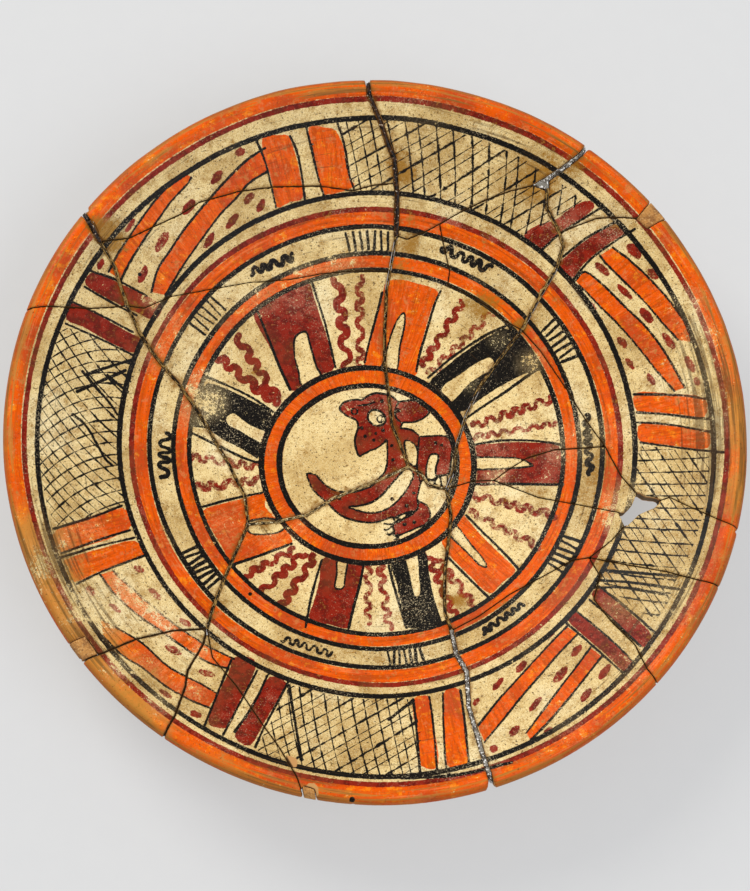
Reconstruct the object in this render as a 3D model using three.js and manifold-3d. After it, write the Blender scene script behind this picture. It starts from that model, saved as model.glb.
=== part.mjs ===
// A mended plate of fired clay: a shallow, hand-built dish that broke into sherds and was glued together.
// Millimetres, +Z up. It rests on its flattened base at z = 0, and +Y is the top of the painted picture.
// The wall is one revolved profile. Cracks, lost chips and filled losses are cut through it from above,
// and what the cracks leave apart are the sherds.

import * as THREE from "three";
import { mergeVertices } from "three/addons/utils/BufferGeometryUtils.js";
import Module from "manifold-3d";

const wasm = await Module();
wasm.setup();

// Driving dimensions of the dish
const rimRadius = 150;
const dishDepth = 42; // from the inner edge of the lip down to the middle of the floor
const floorThickness = 6.5;
const lipThickness = 7; // the lip is a half round as thick as the wall that it ends
const baseRadius = 42; // the flattened part of the underside

// Widths of the joins between sherds
const wideGap = 1.9; // where a thick bead of adhesive holds two sherds apart
const gluedGap = 1.2; // where a thin film of adhesive shows
const openGap = 0.7; // where a crack gapes with no adhesive in sight
const hairGap = 0.35; // where the edges close up to a line
const seatClearance = 0.3; // between a sherd and what is set into the break beside it

// How finely the round forms are divided
const turnSegments = 96;
const insideSegments = 14;
const outsideSegments = 9;
const lipSegments = 6;

// Crack and loss outlines are in hundredths of the rim radius, so they follow a change of the plate's size.
const percent = rimRadius / 100;
const cutMargin = 2; // how far a cutter runs past the clay above and below

// Points where three or more cracks meet
const topFork = [6.5, 60];
const heart = [10, -4];
const heartRight = [20.5, -10.5];
const leftFork = [-34.5, -21.5];
const shoulderFork = [-75.5, 52.5];
const sideFork = [-68, 36.5];
const lowerLeftFork = [-45.5, -52];
const bottomFork = [20.5, -51.5];
const lowerRightFork = [58, -32];
const upperRightFork = [51.5, 59];
const rightFork = [41.5, 33.5];
const twigFork = [18.5, 63];
const hairFork = [33.5, -8.5];
const ringFork = [63.5, -0.5];

// Every crack runs from point to point, and one that reaches the rim runs on past it.
const cracks = {
  topRim: {
    gap: wideGap,
    path: [[-2.5, 102], [-2, 95.5], [1.5, 88.5], [3.5, 83.5], [5.5, 79.5], [6.5, 70], topFork],
  },
  topInner: {
    gap: gluedGap,
    path: [
      topFork, [5.5, 54.5], [4, 46.5], [3.5, 34.5], [3.5, 25.5], [4.5, 17.5], [5.5, 8], [8.5, 0.5], heart,
    ],
  },
  centreLeft: {
    gap: gluedGap,
    path: [heart, [2.5, -7.5], [-3.5, -10], [-11.5, -13.5], [-18, -18], [-26.5, -20.5], leftFork],
  },
  centreRight: { gap: gluedGap, path: [heart, [13.5, -6], [15.5, -9.5], heartRight] },
  leftRim: { gap: wideGap, path: [[-81.5, 62.5], [-78.5, 57.5], shoulderFork] },
  leftShoulder: { gap: gluedGap, path: [shoulderFork, [-71.5, 46.5], [-70, 42], sideFork] },
  leftInner: {
    gap: gluedGap,
    path: [
      sideFork, [-64.5, 29.5], [-60, 23.5], [-53.5, 16.5], [-48.5, 9.5],
      [-44, 2], [-40, -4.5], [-35.5, -13.5], leftFork,
    ],
  },
  shoulderHair: {
    gap: hairGap,
    path: [
      shoulderFork, [-67.5, 54.5], [-61.5, 58], [-53.5, 62.5], [-48.5, 66],
      [-38, 69.5], [-28, 71.5], [-16, 72.5], [-6, 71.5], [0, 73], [6.1, 73.5],
    ],
  },
  sideHair: {
    gap: hairGap,
    path: [
      sideFork, [-63.5, 36.5], [-56, 40.5], [-46.5, 43], [-34.5, 46],
      [-23.5, 47.5], [-14.5, 49.5], [-5.5, 50.5], [4.7, 50.5],
    ],
  },
  leftRimHair: { gap: hairGap, path: [[-97.5, 31.5], [-88.5, 33.5], [-77.5, 34.5], [-72.5, 35.5], sideFork] },
  lowerLeftInner: { gap: gluedGap, path: [leftFork, [-38, -30], [-41, -37.5], [-44, -46], lowerLeftFork] },
  lowerLeftRim: {
    gap: openGap,
    path: [lowerLeftFork, [-46.5, -56.5], [-50.5, -64], [-51, -68.5], [-53.5, -76.5], [-57.5, -84.5]],
  },
  lowerLeftBranch: {
    gap: openGap,
    path: [lowerLeftFork, [-54.5, -53], [-64, -56], [-72.5, -60.5], [-80.5, -64]],
  },
  bottomLeftHair: {
    gap: hairGap,
    path: [lowerLeftFork, [-44, -60], [-37.5, -68], [-31, -78], [-26.5, -84.5], [-22, -92.5], [-19, -101.5]],
  },
  bottomInner: {
    gap: gluedGap,
    path: [heartRight, [21.5, -18.5], [20.5, -26.5], [19.5, -33.5], [19, -41.5], [19, -46.5], bottomFork],
  },
  bottomRim: {
    gap: wideGap,
    path: [bottomFork, [21.5, -58.5], [24, -63.5], [24, -73.5], [25.5, -80.5], [27, -87.5], [29.5, -98.5]],
  },
  lowerRightHair: {
    gap: hairGap,
    path: [bottomFork, [28, -47.5], [36.5, -41.5], [44, -37.5], [53.5, -32.5], lowerRightFork],
  },
  lowerRightRim: {
    gap: hairGap,
    path: [
      lowerRightFork, [60.5, -37.5], [58.5, -44], [62.5, -50.5], [68, -57.5], [70.5, -64.5], [74.5, -70.5],
    ],
  },
  rightRimHair: {
    gap: hairGap,
    path: [lowerRightFork, [66.5, -34.5], [77.5, -37.5], [82.5, -39.5], [93.5, -43.5]],
  },
  holeLower: { gap: hairGap, path: [[67.7, -23.5], [64, -27.5], [61.5, -29.5], lowerRightFork] },
  holeRight: {
    gap: hairGap,
    path: [[76.5, -17.3], [79.5, -16.5], [82.5, -18.5], [90.5, -23.5], [98.5, -28]],
  },
  holeLeft: {
    gap: hairGap,
    path: [heartRight, [27.5, -8.5], hairFork, [38, -10.5], [45.5, -14], [55.5, -16.5], [66.5, -19.7]],
  },
  ringTwig: { gap: hairGap, path: [hairFork, [37.5, -5.5], [42.5, -2.5], [50, -0.5], ringFork] },
  rightInner: {
    gap: gluedGap,
    path: [rightFork, [36, 26.5], [30, 18.5], [26, 10], [23.5, 2], [22.5, -5.5], heartRight],
  },
  rightMiddle: {
    gap: gluedGap,
    path: [[47.7, 70.5], [48, 65.5], upperRightFork, [52.5, 55.5], [51, 50], [46.5, 42.5], rightFork],
  },
  upperRightRim: { gap: wideGap, path: [[60.5, 83.5], [56.5, 78.5], [52, 75.5], [47, 72.5]] },
  topRightHair: {
    gap: hairGap,
    path: [topFork, [9.5, 59], [14.5, 61], twigFork, [24.5, 66], [30.5, 68.5], [37.5, 70.5], [44.5, 71.7]],
  },
  upperRingHair: {
    gap: hairGap,
    path: [
      twigFork, [19.5, 58.5], [21.5, 50.5], [21, 46.5], [25.5, 44.5], [32, 40.5], [36.5, 36.5], rightFork,
    ],
  },
  rightRingHair: {
    gap: hairGap,
    path: [rightFork, [46.5, 27.5], [53.5, 16.5], [58.5, 7.5], ringFork, [67.5, -9.5], [71.3, -14.8]],
  },
  upperRightHair: { gap: hairGap, path: [upperRightFork, [56, 60.5], [61.5, 62], [68, 61.5], [73, 60.5]] },
};

// Outlines of losses run anticlockwise, so that their left is their inside.
// The hole that goes right through, and the chip that clear adhesive fills
const holeOutline = [
  [70.7, -15.7], [69.7, -18], [68, -19.6], [66, -19.9], [66.9, -21.7], [67.7, -24.2], [69.7, -22.3],
  [71.3, -20.7], [75.3, -19.2], [77.3, -17.5], [76.7, -16.5], [73.3, -15.7], [71.3, -14],
];
const chipOutline = [[48.5, 69.7], [48.2, 74], [43.3, 71.7]];

// Losses at the rim made good with plain fill, each drawn past the edge of the plate
const fillOutlines = {
  fill_right_rim: [[71.5, 60.5], [74.5, 57.5], [83.5, 62], [78, 68]],
  fill_left_rim: [[-81, -64.2], [-73.5, -60.9], [-77, -56], [-84.5, -59.5]],
  fill_bottom_rim: [[-19.4, -102], [-15.8, -102], [-17.3, -95.8], [-20.8, -94.8]],
};

// Small bites out of the lip: the angle from +X in degrees, with the bite's width and depth in millimetres
const rimBites = [
  { angle: 91.4, width: 5, depth: 2.5 },
  { angle: 142.5, width: 5, depth: 2.5 },
  { angle: 54, width: 5, depth: 2.5 },
  { angle: 344.1, width: 4, depth: 2 },
  { angle: 218.5, width: 3, depth: 1.5 },
  { angle: 286.7, width: 6, depth: 4 },
  { angle: 265.8, width: 3, depth: 1.5 },
];

// The adhesive that shows, each film named for the crack it fills
const adhesiveFilms = {
  adhesive_top_rim: "topRim",
  adhesive_bottom_rim: "bottomRim",
  adhesive_left_rim: "leftRim",
  adhesive_upper_right_rim: "upperRightRim",
  adhesive_top_inner: "topInner",
  adhesive_bottom_inner: "bottomInner",
  adhesive_right_inner: "rightInner",
  adhesive_right_middle: "rightMiddle",
  adhesive_centre_left: "centreLeft",
  adhesive_centre_right: "centreRight",
  adhesive_left_inner: "leftInner",
  adhesive_left_shoulder: "leftShoulder",
  adhesive_lower_left: "lowerLeftInner",
};

// Each sherd, with one point that lies on it
const sherds = {
  rim_sherd_top_left: [-35, 80],
  rim_sherd_top_right: [25, 85],
  rim_sherd_upper_right: [62, 70],
  rim_sherd_right: [85, 20],
  rim_sherd_right_lower: [80, -28],
  rim_sherd_right_small: [75, -50],
  rim_sherd_bottom_right: [45, -65],
  rim_sherd_bottom_left: [-40, -80],
  rim_sherd_lower_left: [-63, -68],
  rim_sherd_left: [-80, 0],
  rim_sherd_left_upper: [-82, 45],
  wall_sherd_upper_left: [-30, 57],
  wall_sherd_upper_right: [35, 55],
  wall_sherd_right: [55, -8],
  centre_sherd_left: [-15, 10],
  centre_sherd_upper_right: [15, 25],
  centre_sherd_right: [45, 10],
  centre_sherd_lower_right: [40, -30],
  base_sherd_bottom: [-10, -50],
};
const seedPinRadius = 1;

function toManifold(geometry) {
  geometry.deleteAttribute("normal");
  geometry.deleteAttribute("uv");
  const merged = mergeVertices(geometry, 1e-4);
  return new wasm.Manifold(new wasm.Mesh({
    numProp: 3,
    vertProperties: new Float32Array(merged.attributes.position.array),
    triVerts: new Uint32Array(merged.index.array),
  }));
}

function toMesh(name, solid, material) {
  const cut = solid.getMesh();
  const geometry = new THREE.BufferGeometry();
  geometry.setAttribute("position", new THREE.BufferAttribute(new Float32Array(cut.vertProperties), 3));
  geometry.setIndex(new THREE.BufferAttribute(new Uint32Array(cut.triVerts), 1));
  geometry.computeVertexNormals();
  const mesh = new THREE.Mesh(geometry, material);
  mesh.name = name;
  return mesh;
}

// The section of the wall, from the middle of the floor over the lip and under to the middle of the base.
// The inside is a parabola. The outside leaves the flat base level and runs into the lip on the wall's slope.
function wallProfile() {
  const lipRadius = lipThickness / 2;
  const lipSlope = Math.atan2(2 * dishDepth, rimRadius - lipRadius);
  const insideEnd = new THREE.Vector2(
    rimRadius - lipRadius * (1 + Math.sin(lipSlope)),
    floorThickness + dishDepth,
  );
  const lipCentre = new THREE.Vector2(
    insideEnd.x + lipRadius * Math.sin(lipSlope),
    insideEnd.y - lipRadius * Math.cos(lipSlope),
  );
  const outsideEnd = new THREE.Vector2(2 * lipCentre.x - insideEnd.x, 2 * lipCentre.y - insideEnd.y);
  const inside = new THREE.QuadraticBezierCurve(
    new THREE.Vector2(0, floorThickness),
    new THREE.Vector2(insideEnd.x / 2, floorThickness),
    insideEnd,
  );
  const outside = new THREE.QuadraticBezierCurve(
    outsideEnd,
    new THREE.Vector2(outsideEnd.x - outsideEnd.y / Math.tan(lipSlope), 0),
    new THREE.Vector2(baseRadius, 0),
  );
  const lip = new THREE.EllipseCurve(
    lipCentre.x, lipCentre.y, lipRadius, lipRadius, Math.PI / 2 + lipSlope, lipSlope - Math.PI / 2, true,
  );
  return [
    ...inside.getPoints(insideSegments),
    ...lip.getPoints(lipSegments).slice(1),
    ...outside.getPoints(outsideSegments).slice(1),
    new THREE.Vector2(0, 0),
  ];
}

function makeDish() {
  const profile = wallProfile().reverse();
  return toManifold(new THREE.LatheGeometry(profile, turnSegments).rotateX(Math.PI / 2));
}

// An upright cutter with the given outline, in millimetres, taller than the dish.
function upright(outline) {
  const shape = new THREE.Shape(outline);
  const height = floorThickness + dishDepth + lipThickness + 2 * cutMargin;
  const geometry = new THREE.ExtrudeGeometry(shape, { depth: height, bevelEnabled: false });
  return toManifold(geometry.translate(0, 0, -cutMargin));
}

function onPlate(points) {
  return points.map(([x, y]) => new THREE.Vector2(x * percent, y * percent));
}

// The line through the points, moved to its left by a distance, with mitred corners.
function beside(points, distance, closed) {
  return points.map((point, i) => {
    const before = closed ? points.at(i - 1) : points[Math.max(i - 1, 0)];
    const after = closed ? points[(i + 1) % points.length] : points[Math.min(i + 1, points.length - 1)];
    const into = point.clone().sub(before).normalize();
    const out = after.clone().sub(point).normalize();
    const along = into.clone().add(out).normalize();
    const reach = along.dot(into.lengthSq() > 0 ? into : out);
    return new THREE.Vector2(-along.y, along.x).multiplyScalar(distance / reach).add(point);
  });
}

// A strip of the given width along a crack, run on a little at both ends.
function strip(path, width, overrun) {
  const points = onPlate(path);
  const tip = (end, next) => end.clone().add(end.clone().sub(next).setLength(overrun));
  const line = overrun > 0
    ? [tip(points[0], points[1]), ...points.slice(1, -1), tip(points.at(-1), points.at(-2))]
    : points;
  return upright([...beside(line, -width / 2, false), ...beside(line, width / 2, false).reverse()]);
}

function rimBite({ angle, width, depth }) {
  const direction = THREE.MathUtils.degToRad(angle);
  const along = new THREE.Vector2(Math.cos(direction), Math.sin(direction));
  const across = new THREE.Vector2(-along.y, along.x);
  const corner = (reach, side) => along.clone().multiplyScalar(reach).addScaledVector(across, side);
  const outside = rimRadius + cutMargin;
  return upright([corner(rimRadius - depth, 0), corner(outside, -width / 2), corner(outside, width / 2)]);
}

const cutAll = (solid, cutters) => cutters.reduce((rest, cutter) => rest.subtract(cutter), solid);
const bitten = cutAll(makeDish(), [upright(onPlate(holeOutline)), ...rimBites.map(rimBite)]);

const chip = upright(onPlate(chipOutline));
const crackCutters = Object.values(cracks).map(({ gap, path }) => strip(path, gap, gap / 2));
const fillCutters = Object.values(fillOutlines).map((outline) => upright(onPlate(outline)));
const fragments = cutAll(bitten, [chip, ...crackCutters, ...fillCutters]).decompose();

function findSherd([x, y]) {
  const pin = new THREE.CylinderGeometry(seedPinRadius, seedPinRadius, 4 * dishDepth, 8).rotateX(Math.PI / 2);
  const probe = toManifold(pin.translate(x * percent, y * percent, 0));
  return fragments.find((fragment) => fragment.intersect(probe).volume() > 0);
}

const clay = () => new THREE.MeshStandardMaterial({ color: "#d9c08a", roughness: 0.62, metalness: 0 });
const resin = () => new THREE.MeshStandardMaterial({ color: "#5c3510", roughness: 0.18, metalness: 0 });
const clearResin = () => new THREE.MeshStandardMaterial({ color: "#d8dadb", roughness: 0.12, metalness: 0 });
const plaster = () => new THREE.MeshStandardMaterial({ color: "#b98545", roughness: 0.85, metalness: 0 });

const plate = new THREE.Group();

for (const [name, seed] of Object.entries(sherds)) {
  plate.add(toMesh(name, findSherd(seed), clay()));
}

// A film is thinner than its crack by the clearance on both sides, and stops short of the films before it.
const taken = [chip];
for (const [name, crackName] of Object.entries(adhesiveFilms)) {
  const { gap, path } = cracks[crackName];
  const film = strip(path, gap - 2 * seatClearance, 0).intersect(bitten);
  plate.add(toMesh(name, cutAll(film, taken), resin()));
  taken.push(strip(path, gap, 0));
}

const plugOutline = beside(onPlate(chipOutline), seatClearance, true);
plate.add(toMesh("adhesive_chip_plug", upright(plugOutline).intersect(bitten), clearResin()));

for (const [name, outline] of Object.entries(fillOutlines)) {
  const patch = upright(beside(onPlate(outline), seatClearance, true)).intersect(bitten);
  plate.add(toMesh(name, cutAll(patch, crackCutters), plaster()));
}

export default plate;
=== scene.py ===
# A mended plate of fired clay with a painted inside, laid on a pale light table
import math
from functools import partial
import bpy
import numpy as np
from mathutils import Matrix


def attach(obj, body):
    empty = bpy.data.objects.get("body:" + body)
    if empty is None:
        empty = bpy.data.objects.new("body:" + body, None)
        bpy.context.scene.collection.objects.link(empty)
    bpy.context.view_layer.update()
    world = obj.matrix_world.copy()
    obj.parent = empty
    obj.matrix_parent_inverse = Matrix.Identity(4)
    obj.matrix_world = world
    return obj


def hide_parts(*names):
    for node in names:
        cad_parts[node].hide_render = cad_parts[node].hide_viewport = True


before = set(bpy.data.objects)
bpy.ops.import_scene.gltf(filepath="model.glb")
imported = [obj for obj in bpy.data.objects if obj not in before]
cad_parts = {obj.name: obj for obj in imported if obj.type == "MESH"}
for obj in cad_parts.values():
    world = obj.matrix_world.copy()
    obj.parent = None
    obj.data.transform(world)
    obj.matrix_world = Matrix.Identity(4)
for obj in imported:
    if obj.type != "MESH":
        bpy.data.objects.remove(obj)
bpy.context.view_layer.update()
scene = bpy.context.scene
bpy.ops.object.select_all(action="DESELECT")
print("frame loaded:", len(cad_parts), "nodes")

mm = 0.001

# The camera stands where the picture of the plate was taken from: place in mm, turns in degrees
camera = {"place": (-63.3, -236.2, 1008.8), "turned": (13.4264, -3.5739, -0.4208), "lens": 118.52, "sensor": 36}

# The shape that the plate was built to, in mm, and how many flat steps the solids' round and curved faces have
plate = {
    "rimRadius": 150, "depth": 42, "floor": 6.5, "lip": 3.5, "base": 42,
    "turns": 96, "insideSteps": 14, "outsideSteps": 9, "lipSteps": 6,
}

# What a hand-made and mended plate adds to that shape, in mm
handMade = {
    "unevenness": 0.4, "evenTo": 45, "unevenFrom": 95,  # the flat base inside a radius of 45 mm stays true
    "ripple": 0.12, "sherdStep": 0.25, "sherdTilt": 0.0016,
    "grooveWidth": 0.7, "grooveDepth": 0.35, "chipWidth": 1.4, "flakeDepth": 0.3,
}
# The random numbers start from these, so every run gives the same plate
seeds = {"hills": 3, "ripples": 4, "crumbs": 5, "painting": 11, "sherds": 100, "beads": 300}


# The painting, in plate millimetres: x to the right and y to the top of the picture

# Rings: the paint, the radius and width of the stroke, and where the free-hand circle has its centre
paintedRings = [
    ("orange", 142.5, 0, (0, 0)),      # the rim, from here over the lip
    ("orange", 96.8, 5.2, (0.8, 0)),
    ("orange", 80.6, 5.0, (1.3, -0.9)),
    ("maroon", 141.6, 2.0, (0, -0.4)),
    ("maroon", 100.3, 2.1, (0.8, 0)),
    ("black", 136.6, 2.0, (0, -2.2)),
    ("black", 105.7, 2.1, (1.2, 0.6)),
    ("black", 93.2, 2.0, (0.8, 0.1)),
    ("black", 83.9, 2.0, (1.3, -1.1)),
    ("black", 77.4, 2.0, (1.1, -1.1)),
]
# The round frame in the middle: half axes of its outer and its inner edge, and the width of its two black lines
tondo = {"centre": (-2, -6), "outer": (45.5, 43), "inner": (35.7, 33.5), "line": 2.4}
lipPaintEnd = 40.5  # how high above the table the orange ends on the outside
# The widths of the black lines: round the bare slots, at the sides of rays, bars and bands, and in the beast
lineWidths = {
    "slot": 0.9, "ray": 1.2, "bar": 1.1, "band": 0.95, "bold": 1.3, "outline": 0.95, "detail": 0.9, "eye": 0.8,
}

# The long-tailed crested beast in the middle
beast = {
    "body": [
        (-13.8, 18.5), (-12.5, 20.8), (-10, 22), (-6.5, 22.5), (-4.5, 22.3), (-2.5, 23.8), (1, 25.3), (5, 25),
        (7.5, 24.5), (9.5, 23), (11, 21.8), (13, 22), (17, 22.3), (20, 21.8), (22.5, 20), (24, 17.5), (22.5, 15.5),
        (20, 14), (17, 13), (13.5, 13), (12.5, 12.5), (12, 10.5), (13.5, 10.3), (17, 9.5), (20, 7), (24, 7), (29, 7),
        (33, 5.5), (33, 0), (32.5, -5), (32, -9), (29.5, -10), (27.3, -10), (26, -12), (22, -11.5), (20, -13),
        (19, -17), (18.5, -20.5), (22, -22.5), (23.5, -25), (23.5, -28), (22.5, -30), (20.5, -31.5), (17, -33),
        (13.5, -34.5), (9, -36), (8.5, -33.5), (8, -31.5), (9, -30), (11, -28.5), (8, -27.8), (4, -29.3), (0, -30.2),
        (-4, -30), (-8, -29.3), (-12, -28), (-15, -26), (-17.5, -23.5), (-19.5, -21.5), (-23.5, -18), (-25.5, -15.5),
        (-26.5, -13), (-27.5, -9.5), (-24, -10), (-22.5, -11.5), (-20, -14), (-17, -16), (-14, -17), (-10.5, -17.3),
        (-7, -16.8), (-3, -15.5), (0, -14), (4.5, -9), (5.3, -7.5), (6, -5), (6.2, -2), (6.2, 4), (5.8, 5.5), (4.5, 4),
        (2, 2), (-1, 0.8), (-3.5, -0.5), (-5.5, -1.5), (-6.5, 0.5), (-7.2, 3), (-7.4, 5.5), (-6.8, 8), (-6, 10.5),
        (-6.3, 13.2), (-8, 14.5), (-10.5, 15.5), (-12.5, 17),
    ],
    "bare": [
        [(-10, -23.5), (-6, -23), (-2, -22), (1, -20.5), (4, -18), (7, -14.5), (9.5, -11.5), (13, -7.5), (15, -7),
         (17, -9.5), (15.5, -13.5), (13, -17.5), (10, -21), (7, -23.5), (3.5, -25.3), (0, -26), (-4, -25.7),
         (-8, -24.5)],
        [(13.5, 5), (15.5, 5), (17.5, 3.5), (18.7, 1), (18.7, -3), (17.7, -6), (15, -4), (14, -1), (13.5, 2)],
        [(24.3, -1), (27, -0.8), (27.5, -3), (26.5, -6), (26.2, -9), (26.5, -11), (24, -12), (22.2, -10.5),
         (22.5, -6), (23.3, -3)],
        [(8.5, -28.5), (12, -26.6), (16, -25.4), (16.4, -26.5), (13, -28.3), (9.8, -30)],
        [(-1.5, 17), (0.5, 18.3), (3, 17.8), (5, 16), (5.5, 13.5), (4, 11.8), (1.5, 11.5), (-0.5, 12.5), (-1.8, 14.5)],
    ],
    "lines": [
        [(4.8, 15.5), (3, 15.8), (2, 14.5), (2.8, 13), (4.2, 13.3), (4, 14.3)],
        [(13.5, -27), (16.5, -26), (18.5, -24), (18.5, -20.5)], [(-6, 20), (-2, 20.5), (1, 21.5)],
        [(22.3, -9.5), (22.6, -12), (24.2, -14.2), (25.6, -14.2), (25.4, -11)],
        [(25.8, -13), (26.8, -15.4), (28.3, -15.2), (28.2, -10.5)],
        [(28.4, -13), (29.4, -15.6), (31, -15), (31, -9.5)], [(31, -12.5), (32.4, -13.8), (33, -11), (32.2, -9)],
        [(8.5, -30.5), (6.5, -31), (4.5, -30.5)], [(7.5, -32), (5.5, -33.5), (4.5, -33.2)],
        [(8.5, -34), (6.8, -35.5), (5.8, -35.2)], [(10, -35), (10, -37), (8.5, -37.5)],
        [(11, 21.5), (9.5, 18.5), (10, 15), (12.5, 12.5)], [(19.5, 6.5), (19, 0), (18.5, -7), (20, -13)],
    ],
    "rings": [(-7.5, 17.5, 1.3), (10.8, 18, 0.7), (4, 22, 0.5), (-3, 7, 0.5), (4.5, 9.5, 0.5), (14, -23, 0.5),
              (0.5, 5.5, 0.4), (-4.5, 10.5, 0.4), (1.5, 8.2, 0.4), (8, 3, 0.4), (8.5, -3, 0.4), (-14, -20, 0.4),
              (13, -31, 0.5), (17, -30, 0.5), (17, -17.5, 0.4), (8, -20, 0.5), (26.5, 4, 0.4), (29, 3, 0.4)],
}

# The nine broad rays: paint, outline, the bare slot that runs in from the tondo, and the black lines at the sides
rays = [
    ("maroon",
     [(-27, 70.3), (-33, 68.3), (-40, 64.5), (-46, 60), (-49.8, 57), (-49, 53), (-45, 46), (-41, 39.5), (-37.5, 32.5),
      (-34, 25.5), (-25, 29), (-16.5, 35), (-17, 40), (-19, 48), (-21.8, 56), (-24.5, 64)],
     [(-31.5, 49), (-29, 50.3), (-27.5, 49.5), (-26.5, 46), (-25, 41), (-23.5, 36), (-21, 30), (-29.5, 28),
      (-31, 33.5), (-32.3, 38), (-33, 43), (-32.8, 47)],
     [[(-49, 59), (-46, 52), (-43, 45), (-41, 40), (-38, 33), (-34.5, 26)],
      [(-25.5, 70), (-23, 63), (-20, 54), (-17.5, 44), (-15.5, 36)]]),
    ("black",
     [(-75, 8), (-76, 13), (-75, 17), (-74, 21), (-70, 25.5), (-68, 26.6), (-60, 24.3), (-50, 20), (-42.3, 15.3),
      (-43.5, 5), (-46, -4.5), (-50, -3), (-56, 0.5), (-62, 3), (-66, 5.5), (-70, 7.5)],
     [(-61, 12.5), (-58, 14.5), (-54, 11.8), (-50, 9.5), (-42, 6.3), (-43, 1.5), (-51, 5), (-55, 7.3), (-60, 9.5)],
     [[(-69, 29), (-60, 25.8), (-50, 21.5), (-41, 15.8)], [(-75, 5), (-68, 2), (-62, -0.5), (-54, -4), (-47, -6)]]),
    ("orange",
     [(-2.6, 36), (-1, 47), (2, 57), (4, 66), (6, 71.5), (12, 72.3), (18, 71), (27.3, 67.5), (25, 61), (22.3, 52),
      (19.8, 42), (17, 32)],
     [(4, 34), (6, 43), (8, 50), (10.5, 56), (13, 58.7), (13.7, 56.5), (13, 51), (11.6, 45), (10, 34)],
     [[(-3.2, 38), (-1.5, 46), (1.5, 57), (4, 67)], [(18.5, 34.5), (20, 42), (23, 52), (26, 62), (28.5, 67.5)]]),
    ("black",
     [(24, 29.5), (33, 38), (42, 44.5), (50, 49), (56, 51), (62, 46), (67, 38), (68, 34), (60, 30.5), (52, 26.5),
      (45, 22), (36.5, 17), (31, 24)],
     [(29, 27), (37, 33), (43, 37), (49, 39.5), (51, 36.5), (49.5, 34), (46, 32.5), (40, 28.5), (33, 21.5)],
     [[(23.5, 31.8), (33, 39.7), (43, 46.3), (50, 50), (56, 52.3)],
      [(39.5, 14.5), (47, 19.5), (55, 24.5), (63, 30), (68.5, 33.5)]]),
    ("maroon",
     [(42, 1.8), (50, 3), (58, 3.4), (66, 2.8), (77, 0.5), (77, -15.5), (66, -15), (55, -14.3), (42, -13.8)],
     [(40, -2.8), (56, -3.2), (61, -4), (64, -5.5), (64.5, -7.5), (40, -7.5)],
     [[(42.5, 2.8), (50, 4), (58, 4.2), (66, 3.6), (73, 2.4), (78.5, 1)], [(42.5, -14), (56, -14.5), (78, -16)]]),
    ("orange",
     [(36, -26.5), (44, -36), (52, -45), (57.5, -52), (52, -57), (46.5, -61.5), (38, -52.5), (31, -44.5), (28, -38),
      (31, -33)],
     [(31.8, -31), (30, -34), (36, -41), (40, -45.5), (43, -49), (45.5, -50.2), (46, -49), (44, -45.5), (40, -40),
      (34.5, -32)],
     [[(38.5, -27.5), (45, -35), (53, -44), (58.5, -51)], [(30, -45), (38, -54), (46, -63)]]),
    ("black",
     [(7.5, -46.5), (9, -56), (11, -66), (13, -75.5), (20, -75.5), (26.5, -74), (26, -70), (24, -62), (22.5, -52),
      (20.5, -43)],
     [(13.5, -45.5), (17.6, -44.5), (18.3, -53), (18.5, -61), (16.5, -62), (15.5, -58), (14.5, -52)],
     [[(6, -49), (8, -58), (12.5, -76)]]),
    ("maroon",
     [(-20.5, -45.5), (-22.5, -55), (-24.5, -63), (-27, -72.5), (-19, -74.5), (-11, -76), (-9, -68), (-6.5, -58),
      (-4.5, -46.5)],
     [(-15, -45), (-15.5, -53), (-16.3, -58), (-15, -59.2), (-12.8, -58.5), (-12, -54), (-11, -45.5)],
     [[(-21.5, -46.5), (-24, -55), (-26.5, -65), (-28.5, -76)], [(-4.3, -48.5), (-6, -57), (-8.5, -66), (-11, -76)]]),
    ("orange",
     [(-70.5, -28), (-62, -24), (-54, -21.5), (-44.5, -18.5), (-45, -24), (-41.5, -28.5), (-33.5, -39), (-40, -42),
      (-48, -45.5), (-58.5, -49.5), (-62, -43.5), (-66.5, -36)],
     [(-52.5, -33), (-50, -30.5), (-42, -29.5), (-37, -32.5), (-40, -35.5), (-50, -36.5)],
     [[(-70.5, -26), (-62, -23), (-54, -20.5), (-46, -18.5)], [(-58, -50), (-48, -46), (-34, -40)]]),
]

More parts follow.
